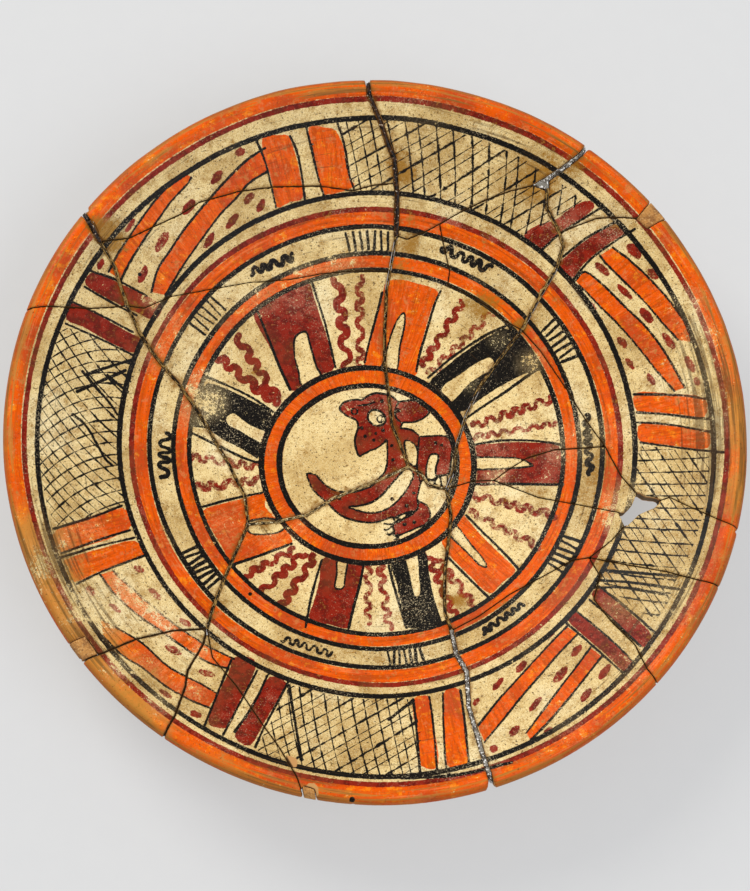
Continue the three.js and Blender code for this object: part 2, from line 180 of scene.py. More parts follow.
# Waved lines: start, end, how far they swing, the length of a wave, the width of the brush, and how thick the paint
# lies, since thin paint breaks up
maroonWaves = [
    ((-15, 72), (-10.5, 36.5), 1.9, 8.6, 3.1, 0.35), ((-5.5, 73), (-5, 37), 1.4, 7.6, 2.5, 0.12),
    ((-57, 47), (-39, 21), 1.5, 7, 2.7, 0.35), ((-65, 38), (-40, 20), 1.3, 6.6, 3.4, 0.4),
    ((21, 37), (38, 63), 1.3, 6.2, 2.4, 0.16), ((24, 33.5), (50, 58), 1.3, 6.2, 2.4, 0.06),
    ((42, 11), (75, 21), 1.5, 5.4, 2.2, 0.12), ((42, 6), (76, 10.5), 0.9, 5.6, 1.9, 0.1),
    ((-76, -5), (-48, -7.5), 1.3, 6.4, 2.2, 0.09), ((-73, -18), (-47, -13), 1.3, 6.4, 2.5, 0.09),
    ((-53, -54.5), (-33, -42.5), 1.2, 6.2, 2.4, 0.16), ((-46, -61), (-29, -44), 1.2, 6.2, 2.4, 0.25),
    ((-38, -66.5), (-24.5, -45.5), 1.3, 6.6, 2.6, 0.3), ((-2.5, -49), (-3, -74), 1.2, 7.2, 2.4, 0.1),
    ((2.5, -49), (5.5, -76), 1.2, 7, 2.4, 0.1), ((42, -19), (74, -29), 1.3, 5.9, 2.6, 0.09),
    ((40, -26), (67, -42), 1.2, 6.2, 2.4, 0.06), ((22, -44), (32.5, -71), 1.2, 6.2, 2.4, 0.25),
    ((26, -46), (40, -66), 1.2, 6.2, 2.4, 0.1),
]
blackWaves = [
    ((-51.5, 73), (-33.5, 80.5), 1.3, 4.5, 2.0, 0.4), ((29, 85), (49, 75.5), 1.6, 4.5, 1.9, 0.4),
    ((-86, 4), (-86.5, -15), 2.1, 5, 1.7, 0.4), ((43, -78.5), (60, -66.5), 1.0, 3.6, 1.6, 0.4),
    ((-38, -81), (-18, -87.5), 1.2, 3.9, 1.3, 0.14), ((88, 13), (89, -12), 1.1, 4.2, 2.1, 0.4),
]

# Groups of short strokes across the pale ring: the angles of the first and last, how many, from and to which radius,
# and the width of the brush
tickGroups = [
    ((97.5, 86.5), 7, (85, 92), 1.35), ((146.5, 137.5), 6, (85, 92.5), 1.05), ((210, 221), 8, (85, 91.5), 1.5),
    ((272.7, 281.3), 7, (84.5, 91), 1.2), ((35.8, 24.9), 7, (86, 92), 1.35), ((334, 325), 6, (85.5, 92), 1.3),
]
tickCentre = (0.8, -0.6)

# The broad bars of the outer band: paint, outline, black lines
bars = [
    ("orange",
     [(-46.5, 126), (-41, 126.5), (-36.5, 126.8), (-34, 122), (-31.5, 114), (-29.8, 104), (-35, 102), (-40.8, 99.5),
      (-42.5, 107), (-44.5, 114), (-47, 121)],
     [[(-49.5, 124), (-47, 119), (-45, 114), (-43, 107), (-41, 99.5)],
      [(-35.5, 126.5), (-33, 122), (-31.5, 117), (-30, 110), (-29, 103.5)]]),
    ("orange",
     [(-28, 130), (-20, 130.3), (-16.5, 129.5), (-13.5, 124.5), (-12.5, 120.5), (-10, 112), (-8.8, 108.5),
      (-21, 105.5), (-24, 115)],
     [[(-29, 130.5), (-27, 124), (-24.5, 115), (-22.5, 109), (-21, 105)],
      [(-16, 132.5), (-14, 128), (-12, 121), (-10.5, 113), (-8.5, 108)]]),
    ("maroon", [(62.5, 88), (69.5, 82), (76.5, 88.3), (82, 91), (90, 96), (90.5, 99), (87, 100), (81, 97.5), (75, 93.5),
                (68, 92)], [[(70, 82), (78, 88.5), (93, 96.5)]]),
    ("maroon", [(77, 75.5), (80, 79), (86, 83.5), (93, 87.5), (100, 90), (103, 88), (104, 86), (98, 83), (91, 78.5),
                (86, 74), (82.5, 70)],
     [[(79, 79), (88, 85.5), (99, 90.5)], [(83, 69.5), (90, 77), (100, 83.5), (107, 87)]]),
    ("orange", [(107.5, 20.5), (120, 18.8), (133.5, 15.5), (133.5, 7.5), (125, 9.5), (115, 11.5), (108, 12.5)],
     [[(107, 20), (115, 19), (125, 17.5), (134, 15)], [(108, 12.3), (118, 10.5), (128, 8), (135, 6.5)]]),
    ("orange", [(108.5, 7), (115, 6.5), (122, 5), (130, 3), (135, 1.5), (134.5, -5.5), (125, -4), (117, -2),
                (109, -0.5)],
     [[(107.5, 8), (115, 7), (125, 4.5), (136, 1)], [(109, -0.5), (117, -2.5), (127, -5), (140, -8)]]),
    ("maroon", [(87, -64), (90.5, -61.5), (97, -68), (103, -75), (108.5, -83), (104.5, -87.5), (98, -79.5), (92, -72)],
     [[(86, -66), (92, -72.5), (98, -80), (104, -87)], [(90, -60.5), (97, -67.5), (103.5, -74.5), (110, -82)]]),
    ("maroon", [(77, -74), (80.5, -71), (86, -76.5), (93, -84), (100.5, -93.5), (97, -97.5), (90, -89), (83, -81.5)],
     [[(76, -75), (83, -82.5), (90, -90.5), (96.5, -98)], [(81, -71), (88, -78), (95, -86), (100.5, -93)]]),
    ("orange", [(14.3, -106), (20.5, -105.5), (21.3, -112), (22, -120), (22.5, -134.5), (16, -134.5), (15.3, -127),
                (15, -119), (13.8, -114)],
     [[(14, -106.5), (14.8, -118), (15.3, -137)], [(20.5, -105.5), (21.5, -118), (22, -136)]]),
    ("orange", [(26, -104.5), (33, -103), (33.5, -112), (34, -122), (34, -134), (26, -134)],
     [[(26, -104), (25.5, -120), (25.5, -134), (27, -139)], [(33, -103), (34, -118), (34.5, -134)]]),
    ("maroon", [(-57.5, -90), (-52, -89.3), (-48.8, -91.5), (-49.8, -97), (-55, -108), (-59, -118.5), (-64, -119.5),
                (-67.5, -117), (-64.2, -106.5), (-59.8, -97)],
     [[(-48.1, -95), (-54, -107), (-61.5, -122.3)], [(-58.5, -91), (-62.7, -102), (-68.8, -118.8)]]),
    ("maroon", [(-43, -97.5), (-36.5, -100), (-40.5, -108), (-45.5, -117), (-51, -126.5), (-57, -123), (-54, -116),
                (-48, -105)],
     [[(-36, -100), (-41, -110), (-46, -120), (-49, -127)], [(-44, -97), (-50, -110), (-57, -121)]]),
    ("orange", [(-128.1, -41), (-103, -29), (-100.2, -38.2), (-125, -49.8), (-128.5, -49)],
     [[(-129, -40.5), (-114, -33.8), (-103, -28)], [(-126, -50.5), (-110, -42.5), (-99.5, -38)]]),
    ("orange", [(-97.7, -42.3), (-93.5, -48), (-101.2, -51.5), (-111.9, -57), (-120.5, -61.8), (-123, -56),
                (-124.5, -53), (-110, -46.5)],
     [[(-127, -52.7), (-112, -46), (-98, -41.2)], [(-119.6, -62.7), (-111.9, -57.5), (-101.2, -51.9), (-93.3, -48.2)]]),
    ("maroon", [(-124.5, 52.5), (-117.5, 51), (-109, 47.5), (-101, 44), (-96.5, 42.3), (-97.7, 37.5), (-101, 36.3),
                (-111.9, 40.5), (-119.6, 44), (-126, 45.8)],
     [[(-126.2, 44.2), (-112, 39.8), (-98.1, 34.6)], [(-124.6, 53.5), (-112, 49.3), (-99.6, 44.4)]]),
    ("maroon", [(-118.5, 60.5), (-112, 57.3), (-103, 54), (-97, 52), (-93, 50.5), (-89.5, 51.5), (-88, 56.5),
                (-94, 59.8), (-101, 62), (-106, 63.5), (-115, 66), (-118, 64)],
     [[(-117, 66.4), (-105.8, 64.2), (-94.2, 59.8)], [(-119, 59.8), (-108, 55), (-98, 51.3)]]),
]

# The two long oblique orange bands of each dotted zone: one side from end to end, then the other back
bands = [
    ([(84, 69), (88, 72), (96, 65), (104, 56), (112, 47), (119, 36), (126.5, 20.5)],
     [(122.5, 19.5), (116, 28.5), (109, 39), (101, 49.5), (93, 58.5), (85.5, 67)]),
    ([(98.5, 80.8), (106, 74.5), (113, 67), (119, 59.5), (124, 52), (128, 45), (129, 39)],
     [(124, 40.5), (118, 48.5), (111, 58), (103, 67), (97, 73.5), (93.5, 78)]),
    ([(76.5, -77), (70, -83.5), (62, -92), (55, -99.5), (48, -107), (39, -118)],
     [(41, -125), (50, -114.5), (57, -106), (65, -97), (73, -88), (80.5, -80.5)]),
    ([(85, -86.5), (78, -95.5), (70, -105.5), (63, -114.5), (57.5, -121.5)],
     [(59, -124.5), (67, -116.5), (75, -107.5), (82, -99), (89, -90.5)]),
    ([(-105.8, -55.8), (-99.6, -61.5), (-88.8, -70.8), (-80, -77.7), (-71.2, -83.5), (-65.8, -86.5), (-57.3, -90.4)],
     [(-59.6, -94.6), (-66.5, -92.7), (-74.2, -88.5), (-85.8, -80.4), (-96.5, -73.1), (-105, -65.4), (-110.8, -57.7)]),
    ([(-110, -76.3), (-101.2, -81.2), (-93.5, -85.8), (-84.2, -94.2), (-77.3, -98.1), (-69.6, -101.9), (-63.8, -105.4)],
     [(-67.3, -111.2), (-73.5, -108.8), (-79.6, -105.8), (-85.8, -101.9), (-93.5, -95.8), (-101.2, -91.2),
      (-108.8, -83.5)]),
    ([(-109.5, 67), (-105.8, 75), (-101.9, 81.2), (-96.5, 89.6), (-90.4, 98.1), (-83.5, 105.8), (-78.5, 109)],
     [(-76.2, 108.1), (-78.1, 105), (-84.2, 98.1), (-89.6, 90.4), (-95.8, 81.2), (-101.2, 71.9), (-104.6, 64.8)]),
    ([(-92.3, 61.5), (-89.6, 71.2), (-84.2, 79.6), (-78.8, 88.1), (-68.1, 101.2), (-55, 115), (-45.8, 121.5)],
     [(-45, 112.5), (-51.9, 108.1), (-58.1, 101.2), (-64.2, 95), (-70.4, 86.5), (-75.8, 78.8), (-81.2, 70.4),
      (-86.5, 61)]),
]

# Maroon dabs: centre, length, width, lean in degrees
dabs = [
    (107, 78.5, 8, 4, -48), (114.5, 68.5, 6, 3.5, -50), (94.5, 72.5, 8, 3, -45), (103.5, 62.5, 9, 2.6, -48),
    (112, 52, 8, 3.5, -55), (120.5, 40.5, 9, 3, -60), (128.5, 30, 8, 3, -65), (131, 22.5, 4, 2.5, -70),
    (102.5, 42, 6, 3, -55), (105.5, 33, 6, 2.5, -60), (113.5, 25.5, 6, 2.5, -65), (90.5, 58, 5, 2.4, -48),
    (79.5, -87.5, 6.5, 3, 50), (72.5, -97.5, 9, 3.5, 50), (62, -109.5, 8, 2.5, 50), (53, -120.5, 6, 3, 48),
    (44.5, -127.8, 3.6, 3, 40), (57.5, -93.5, 6.5, 3, 50), (48, -100.5, 7, 2.5, 50), (89.5, -97, 8, 3, 52),
    (81.5, -106.5, 7, 3, 52), (39, -108, 4, 2.2, 50), (70, -80, 4.5, 2.4, 48), (66, -121, 5, 2.6, 45),
    (-95.8, -54.2, 4.6, 3, -20), (-89.2, -64.2, 7, 2.8, -45), (-76.9, -75.8, 6, 2.7, -30), (-114.2, -65, 5, 3.2, -50),
    (-104.6, -71.5, 6, 2.4, -35), (-81.5, -87.7, 7.5, 3.2, -28), (-68.1, -96.9, 7, 3, -15),
    (-84.2, -106.2, 6, 2.4, -35), (-72.3, -114.2, 5, 3, -20), (-96.5, -99.5, 4, 2, -40), (-95.8, 68.1, 8, 3, 65),
    (-88.1, 81.9, 10, 3.6, 60), (-77.3, 96.5, 8, 3.5, 50), (-65.8, 108.8, 7, 3.2, 50), (-56.2, 119.2, 5, 3, 30),
    (-68.8, 84.2, 8, 3, 58), (-59.2, 92.7, 8, 3, 52), (-52.3, 101.9, 6, 3, 47), (-47.3, 99.6, 6, 3, 60),
    (-112.7, 69.6, 5, 2.5, 65), (-101, 86.5, 7, 2.2, 55),
]

# Cross-hatched zones: outline, then its two families of lines. A fan has the angles at which its lines start at the
# outer ring, how many degrees the first and the last lean on their way in to the inner ring, and how much they bow;
# a family of straight lines has its heading in degrees and the gap between two lines in mm
hatchedZones = [
    ([(-8, 107), (-13.5, 126), (-16, 134.5), (0, 134.5), (20, 132.5), (40, 127.5), (58, 119.5), (72, 110.5),
      (86, 100.5), (78, 96), (64, 89), (58, 90), (45, 97), (30, 102), (14, 105.8)],
     ([97.4, 95.4, 93.4, 91.3, 88.3, 85.2, 82.7, 79.6, 76.5, 72.8, 69.8, 66.3, 64.2, 60.5, 58, 54.9, 52, 49],
      -2.3, -8, 0),
     (28, 4.3)),
    ([(109.5, -2), (125, -6), (134.5, -8), (133, -24), (128, -43), (119, -61), (111, -76), (98, -66), (91, -58),
      (97, -45), (103, -30), (107, -13)],
     ([0, -2.3, -4.2, -6.5, -8.6, -10.8, -13.2, -15.4, -17.3, -19.6, -21.8, -24.2, -26.3, -28.8, -31, -33.2, -35.5,
       -38], 0.5, -6, 0),
     (-62, 3.2)),
    ([(14, -107), (15, -136), (0, -138.5), (-20, -137), (-38, -132.5), (-48, -128.5), (-42, -115), (-35, -101),
      (-20, -104.5), (-4, -106.5)],
     ([250.9, 253, 255, 256.8, 258.7, 260.6, 263, 265.4, 267.5, 269.6, 271.5, 273.4, 275, 276.4, 278.2, 280],
      -8.5, 1, 0),
     (31, 3.7)),
    ([(-127.5, 43), (-98.5, 34), (-103.5, 17), (-105, 0), (-103, -18), (-100.5, -26), (-114, -33), (-128, -39.5),
      (-134, -22), (-137, 0), (-135, 20), (-131, 35)],
     ([146, 148.4, 150.5, 153, 155.2, 157.4, 159.9, 162, 164.4, 166.8, 169, 171.1, 173.6, 175.9, 178, 180.4, 182.8,
       185, 187.1, 189.6, 192, 194.2, 196.6, 199, 201.4], 3, 28, 0),
     ([152, 154.4, 156.6, 158.8, 161.2, 163.5, 165.6, 168, 170.4, 172.6, 174.7, 177, 179.5, 181.6, 184, 186.3, 188.5,
       190.9, 193, 195.4, 197.8, 200, 202.3, 204.6], -13, -5, 0.7)),
]
hatchBand = (106.5, 136)  # the radii that the hatching runs between

# Bold strokes over the finer hatching
boldStrokes = [
    [(93, -54), (105, -56), (120, -58.5)], [(90, -58), (103, -60), (120, -64)], [(88, -61), (100, -62), (115, -66)],
    [(-35.5, -101), (-31, -132)], [(4, -115), (14, -107)], [(51, -133.5), (30, -138.2), (8, -139.5)],
    [(-121.5, 17.4), (-115.3, 21.1), (-109.7, 24.5), (-102.4, 28.6)], [(-117.7, 24.9), (-110.9, 28.4), (-99.8, 33.3)],
    [(-119.4, 25.9), (-113.1, 19.1), (-108.5, 14.3), (-105.5, 9.9)], [(-109.7, 25.9), (-105.1, 22.4), (-101.4, 19.9)],
    [(-123, 7.8), (-117.3, 3.2), (-110.3, -8.5), (-106.9, -11.7)],
]

# Round spots of paint: paint, x, y, radius
spots = [("black", -51, -62.3, 0.9), ("black", -97, 68, 0.8), ("black", -11.5, -148, 1.1), ("black", -26, 124, 0.5)]

# Where the paint is rubbed thin, where the slip is stained, where the orange has turned to ochre and where the rim is
# streaked with dirt: x, y, size of the patch, strength
patches = {
    "worn": [
        (-72, 22, 12, 0.9), (-76, 10, 8, 0.5), (-66, 18, 7, 0.5), (-48, 64, 12, 0.5), (-30, 75, 9, 0.6),
        (-14, 77, 10, 0.6), (-62, 52, 10, 0.35), (-83, 50, 9, 0.5), (-90, 36, 9, 0.6), (-92, 57.5, 5, 0.8),
        (66, 36, 8, 0.8), (52, 47, 8, 0.4), (41, 29, 8, 0.4), (52, -8.5, 8, 0.5), (50, -13, 6, 0.4),
        (-98, -63, 9, 0.7), (-90, -71, 8, 0.7), (-82, -78, 7, 0.7), (-104, -59, 6, 0.6), (-70, -88, 7, 0.6),
        (-105, -79, 6, 0.5), (-90, -97, 9, 0.5), (-74, -104, 8, 0.5), (-133, -58, 12, 0.9), (-119, -76, 9, 0.8),
        (-103, -97, 8, 0.7), (-86, -110, 8, 0.6), (-114, -38, 8, 0.4), (-100, -70, 20, 0.35), (-118, -68, 7, 0.8),
        (116, -70, 14, 0.6), (124, -56, 10, 0.5), (98, -96, 12, 0.5), (128, 55, 10, 0.5), (-62, -34, 12, 0.4),
        (-45, -33, 7, 0.4), (-40, -40, 10, 0.3), (97, -70, 9, 0.7), (104, -22, 8, 0.8), (-30, -32, 6, 0.4),
        (20, 132, 22, 0.35), (-12, 22, 6, 0.3), (14, -2, 6, 0.3), (2, -28, 5, 0.3), (0, 88, 30, 0.2),
        (-66, -118, 14, 0.25), (72, -118, 14, 0.4), (92, 4, 14, 0.45), (78, -2, 12, 0.4), (-105, 118, 14, 0.25),
        (97, -34, 7, 0.9), (98, -24, 7, 0.7), (134, 24, 14, 0.6), (137, 4, 12, 0.5), (133, 42, 10, 0.4),
        (-60, 118, 12, 0.3), (44, 72, 8, 0.3), (-84, -40, 10, 0.3), (60, -86, 12, 0.3), (118, 34, 14, 0.2),
        (-128, -44, 12, 0.5),
    ],
    "stained": [
        (11, 115, 8, 1.0), (67, 110, 12, 0.8), (50, 62, 10, 0.6), (17, 87, 5, 0.7), (-24, -20, 6, 0.4),
        (54, -67, 8, 0.5), (34, -64, 5, 1.0), (93, -53, 5, 0.8), (68, -18, 8, 0.5), (-107, 80, 8, 0.9),
        (-114, 84, 7, 0.9), (-87, 33, 6, 0.7), (-99, 55, 6, 0.6), (-66, -84, 6, 0.7), (-62, -66, 6, 0.5),
        (-45, -31, 7, 0.7), (30, -84, 7, 0.5), (12, 84, 6, 0.6), (84, 116, 8, 0.5), (62, 52, 6, 0.8),
        (-122, -88, 9, 0.5), (110, -84, 12, 0.3), (36, -12, 7, 0.4), (-40, 60, 6, 0.3), (16, 96, 6, 0.5),
        (-3, 58, 6, 0.3), (-78, 72, 6, 0.3), (100, 92, 8, 0.5), (76, 60, 9, 0.4), (-20, 98, 6, 0.3),
        (35, 122, 26, 0.15), (72, 100, 20, 0.2), (112, -48, 30, 0.3), (-4, -88, 20, 0.35), (48, 88, 18, 0.3),
        (-14, -124, 24, 0.2), (92, -8, 14, 0.5), (86, -26, 12, 0.4), (-126, -60, 14, 0.4), (-98, -108, 14, 0.4),
        (40, 60, 10, 0.4), (12, 74, 6, 0.7),
    ],
    "ochre": [
        (-140, -50, 22, 0.8), (-122, -86, 24, 0.9), (-96, -114, 20, 0.6), (149, 6, 20, 0.7), (148, -26, 14, 0.6),
        (146, 38, 14, 0.4), (-147, 26, 10, 0.3), (142, -52, 10, 0.3), (60, -136, 10, 0.2), (-62, -136, 18, 0.3),
    ],
    "dirty": [
        (136, -10, 26, 0.8), (136, 16, 22, 0.9), (130, 40, 16, 0.6), (-128, -52, 22, 0.8), (-112, -84, 22, 0.8),
        (120, -66, 20, 0.6), (96, -98, 20, 0.5), (0, 134, 30, 0.3), (-110, 78, 16, 0.5), (60, 122, 22, 0.4),
        (-40, -134, 30, 0.3),
    ],
}

# How far outside its edge a painted shape still tells how near it is, in mm
tellWithin = 3.0


def roundedPath(path, closed=False, steps=4):
    # A smooth curve that passes through every point, with so many steps from one to the next
    p = np.array(path, float)
    ends = (p[-1:], p[:2]) if closed else (2 * p[:1] - p[1:2], 2 * p[-1:] - p[-2:-1])
    q = np.concatenate([ends[0], p, ends[1]])
    t = (np.arange(steps) / steps)[:, None]
    parts = []
    for a, b, c, d in zip(q, q[1:], q[2:], q[3:]):
        parts.append(((2 * b) + (c - a) * t + (2 * a - 5 * b + 4 * c - d) * t**2 + (3 * b - a - 3 * c + d) * t**3) / 2)
    if not closed:
        parts.append(p[-1:])
    return np.concatenate(parts)


def joinedUp(path):
    return np.concatenate([path, path[:1]])


def nearPoints(x, y, path, margin):
    # Only the points in the box round a path are worked on
    low, high = path.min(axis=0) - margin, path.max(axis=0) + margin
    return np.flatnonzero((x > low[0]) & (x < high[0]) & (y > low[1]) & (y < high[1]))


def gapsToPath(px, py, path):
    # For each point and each piece of the path: the gap between them, and how far along the piece the nearest point is
    a, step = path[:-1], path[1:] - path[:-1]
    fromX, fromY = px[:, None] - a[:, 0], py[:, None] - a[:, 1]
    along = np.clip((fromX * step[:, 0] + fromY * step[:, 1]) / (step ** 2).sum(axis=1), 0, 1)
    return np.hypot(fromX - along * step[:, 0], fromY - along * step[:, 1]), along


def strokeDepth(layer, x, y, path, width):
    # A brush stroke: layer keeps how deep each point lies inside the paint, negative outside
    half = np.broadcast_to(np.asarray(width, float) / 2, len(path))
    near = nearPoints(x, y, path, half.max() + tellWithin)
    if near.size:
        gaps, along = gapsToPath(x[near], y[near], path)
        depth = (half[:-1] + along * np.diff(half) - gaps).max(axis=1)
        layer[near] = np.maximum(layer[near], depth)


def unpainted(x):
    return np.full(len(x), -tellWithin)


def areaDepth(x, y, outline):
    # How deep each point near an outline lies inside it
    closed = joinedUp(outline)
    near = nearPoints(x, y, closed, tellWithin)
    gaps, _ = gapsToPath(x[near], y[near], closed)
    a, b = closed[:-1], closed[1:]
    px, py = x[near, None], y[near, None]
    rise = np.where(b[:, 1] == a[:, 1], 1e-9, b[:, 1] - a[:, 1])
    crossed = ((a[:, 1] > py) != (b[:, 1] > py)) & (px < (b[:, 0] - a[:, 0]) * (py - a[:, 1]) / rise + a[:, 0])
    inside = crossed.sum(axis=1) % 2 == 1
    return near, np.where(inside, 1, -1) * gaps.min(axis=1)


def fillArea(layer, x, y, outline):
    near, depth = areaDepth(x, y, outline)
    layer[near] = np.maximum(layer[near], depth)


def leaveBare(layer, x, y, outline):
    near, depth = areaDepth(x, y, outline)
    layer[near] = np.minimum(layer[near], -depth)


def brushWidth(rng, width, count):
    # The width of a stroke along its length: it swells and thins as the brush does
    knots = rng.uniform(0.78, 1.16, max(4, count // 9))
    return width * np.interp(np.linspace(0, 1, count), np.linspace(0, 1, len(knots)), knots)


def drawLines(layer, rng, x, y, paths, width):
    for path in paths:
        strokeDepth(layer, x, y, path, brushWidth(rng, width, len(path)))


def wavedPath(rng, start, end, swing, wave):
    # A hand's wave: 14 points to a wave, whose length and swing vary and whose crests lean
    start, end = np.array(start, float), np.array(end, float)
    length = np.linalg.norm(end - start)
    along = (end - start) / length
    count = max(6, int(length / wave * 14))
    s = np.linspace(0, 1, count)
    turns = s * length / wave + 0.12 * np.sin(s * 9 + rng.uniform(0, 6)) + rng.uniform(0, 1)
    side = swing * np.sin(2 * np.pi * turns) * np.interp(s, [0, 0.5, 1], rng.uniform(0.8, 1.15, 3))
    back = -0.06 * wave * np.sin(4 * np.pi * turns)
    return start + np.outer(s * length + back, along) + np.outer(side, [-along[1], along[0]])


def ringWobble(rng, angle, size):
    # How a free-hand circle strays from a true one
    return size * sum(np.cos(k * angle + rng.uniform(0, 6.28)) / k ** 0.5 for k in (2, 3, 5, 8, 13)) / 2


def ringDepth(layer, rng, x, y, radius, width, centre):
    dx, dy = x - centre[0], y - centre[1]
    angle = np.arctan2(dy, dx)
    off = np.hypot(dx, dy) - radius - ringWobble(rng, angle, 0.35)
    if width:
        depth = width * (1 + ringWobble(rng, angle, 0.09)) / 2 - np.abs(off)
    else:
        depth = off
    np.maximum(layer, depth, out=layer)


def paintBeast(layers, rng, x, y):
    black, shape = layers["black"], unpainted(x)
    edges = [roundedPath(outline, closed=True, steps=3) for outline in (beast["body"], *beast["bare"])]
    fillArea(shape, x, y, edges[0])
    for bare in edges[1:]:
        leaveBare(shape, x, y, bare)
    np.maximum(layers["maroon"], shape, out=layers["maroon"])
    drawLines(black, rng, x, y, map(joinedUp, edges), lineWidths["outline"])
    drawLines(black, rng, x, y, map(roundedPath, beast["lines"]), lineWidths["detail"])
    turn = np.radians(np.arange(0, 361, 30))
    for cx, cy, radius in beast["rings"]:
        path = np.stack([cx + radius * np.cos(turn), cy + radius * np.sin(turn)], axis=1)
        strokeDepth(black, x, y, path, lineWidths["eye"])


def paintTondo(layers, rng, x, y):
    # Everything inside the round frame in the middle is laid over the rays
    dx, dy = x - tondo["centre"][0], y - tondo["centre"][1]
    angle = np.arctan2(dy, dx)
    wobbles = [ringWobble(rng, angle, 0.3) for _ in range(2)]
    outer = (1 - np.hypot(dx / tondo["outer"][0], dy / tondo["outer"][1])) * sum(tondo["outer"]) / 2 + wobbles[0]
    inner = (1 - np.hypot(dx / tondo["inner"][0], dy / tondo["inner"][1])) * sum(tondo["inner"]) / 2 + wobbles[1]
    half = tondo["line"] * (1 + ringWobble(rng, angle, 0.1)) / 2
    for layer in layers.values():
        np.minimum(layer, -outer, out=layer)
    np.maximum(layers["orange"], np.minimum(outer, -inner), out=layers["orange"])
    for edge in (outer - half, inner + half):
        np.maximum(layers["black"], half - np.abs(edge), out=layers["black"])
    paintBeast(layers, rng, x, y)


def hatchIndex(rng, x, y, family):
    # Counts the slanting lines up to each point, so that every line lies where the count is whole
    if len(family) == 2:
        heading, gap = math.radians(family[0]), family[1]
        count = (y * math.cos(heading) - x * math.sin(heading)) / gap
        along = (x * math.cos(heading) + y * math.sin(heading)) / 40
        return count + 0.2 * np.sin(2.1 * count + 1) + 0.12 * np.sin(along + 0.7 * count)
    outer, firstLean, lastLean, bow = family
    outer = np.array(outer) + rng.uniform(-0.2, 0.2, len(outer))
    lean = np.linspace(firstLean, lastLean, len(outer))
    angle = np.degrees(np.arctan2(y, x))
    if outer.mean() > 90:  # on the left the angles run on past 180 degrees
        angle = angle % 360
    inward = (hatchBand[1] - np.hypot(x, y)) / (hatchBand[1] - hatchBand[0])
    inward += bow * inward * (1 - inward)
    at = outer + inward[:, None] * lean
    share = (angle[:, None] - at[:, :-1]) / np.diff(at, axis=1)
    share[:, 1:] = np.maximum(share[:, 1:], 0)
    share[:, :-1] = np.minimum(share[:, :-1], 1)
    return share.sum(axis=1)


def patchSum(x, y, places):
    # A patch fades to a quarter of its strength at its size
    total = np.zeros(len(x))
    for px, py, size, strength in places:
        total += strength * np.exp(-((x - px) ** 2 + (y - py) ** 2) / size ** 2 * 1.4)
    return np.minimum(total, 1)


def paintRays(layers, rng, x, y):
    for paint, outline, slot, lines in rays:
        shape, slotEdge = unpainted(x), roundedPath(slot, closed=True)
        fillArea(shape, x, y, roundedPath(outline, closed=True))
        leaveBare(shape, x, y, slotEdge)
        np.maximum(layers[paint], shape, out=layers[paint])
        if paint != "black":
            drawLines(layers["black"], rng, x, y, [joinedUp(slotEdge)], lineWidths["slot"])
        drawLines(layers["black"], rng, x, y, map(roundedPath, lines), lineWidths["ray"])


def paintWaves(layers, rng, x, y):
    for paint, waves in (("maroon", maroonWaves), ("black", blackWaves)):
        for start, end, swing, wave, width, thick in waves:
            path = wavedPath(rng, start, end, swing, wave)
            stroke = unpainted(x)
            drawLines(stroke, rng, x, y, [path], width)
            np.maximum(layers[paint], np.minimum(stroke, thick), out=layers[paint])


def paintTicks(layers, rng, x, y):
    for (first, last), count, (near, far), width in tickGroups:
        for angle in np.radians(np.linspace(first, last, count)):
            tilt = rng.uniform(-0.006, 0.006)
            path = np.array([[r * np.cos(angle + t), r * np.sin(angle + t)] for r, t in ((near, tilt), (far, -tilt))])
            strokeDepth(layers["black"], x, y, path + tickCentre, width * rng.uniform(0.8, 1.15))


def paintOuterBand(layers, rng, x, y):
    for paint, outline, lines in bars:
        fillArea(layers[paint], x, y, roundedPath(outline, closed=True, steps=3))
        drawLines(layers["black"], rng, x, y, map(roundedPath, lines), lineWidths["bar"])
    for side, back in bands:
        there, home = roundedPath(side), roundedPath(back)
        fillArea(layers["orange"], x, y, np.concatenate([there, home]))
        drawLines(layers["black"], rng, x, y, (there, home), lineWidths["band"])
    for px, py, length, width, lean in dabs:
        # An oval of 16 points, each a little in or out
        turn = np.radians(np.linspace(0, 360, 17)[:-1])
        along, side = length / 2 * np.cos(turn), width / 2 * np.sin(turn) * rng.uniform(0.88, 1.12, 16)
        c, s = np.cos(np.radians(lean)), np.sin(np.radians(lean))
        dab = unpainted(x)
        fillArea(dab, x, y, np.stack([px + along * c - side * s, py + along * s + side * c], axis=1))
        np.maximum(layers["maroon"], np.minimum(dab, rng.uniform(0.07, 0.25)), out=layers["maroon"])
    drawLines(layers["black"], rng, x, y, map(roundedPath, boldStrokes), lineWidths["bold"])
    for paint, px, py, radius in spots:
        near = nearPoints(x, y, np.array([[px, py]]), radius + tellWithin)
        depth = radius - np.hypot(x[near] - px, y[near] - py)
        layers[paint][near] = np.maximum(layers[paint][near], depth)


def countHatching(rng, x, y):
    # How deep each point lies in a hatched zone, and its count in both families of lines
    zone, hatchA, hatchB = unpainted(x), np.full(len(x), 0.5), np.full(len(x), 0.5)
    for outline, familyA, familyB in hatchedZones:
        near, depth = areaDepth(x, y, roundedPath(outline, closed=True, steps=2))
        near, depth = near[depth > -tellWithin], depth[depth > -tellWithin]
        zone[near] = depth
        hatchA[near] = hatchIndex(rng, x[near], y[near], familyA)
        hatchB[near] = hatchIndex(rng, x[near], y[near], familyB)
    return zone, hatchA, hatchB


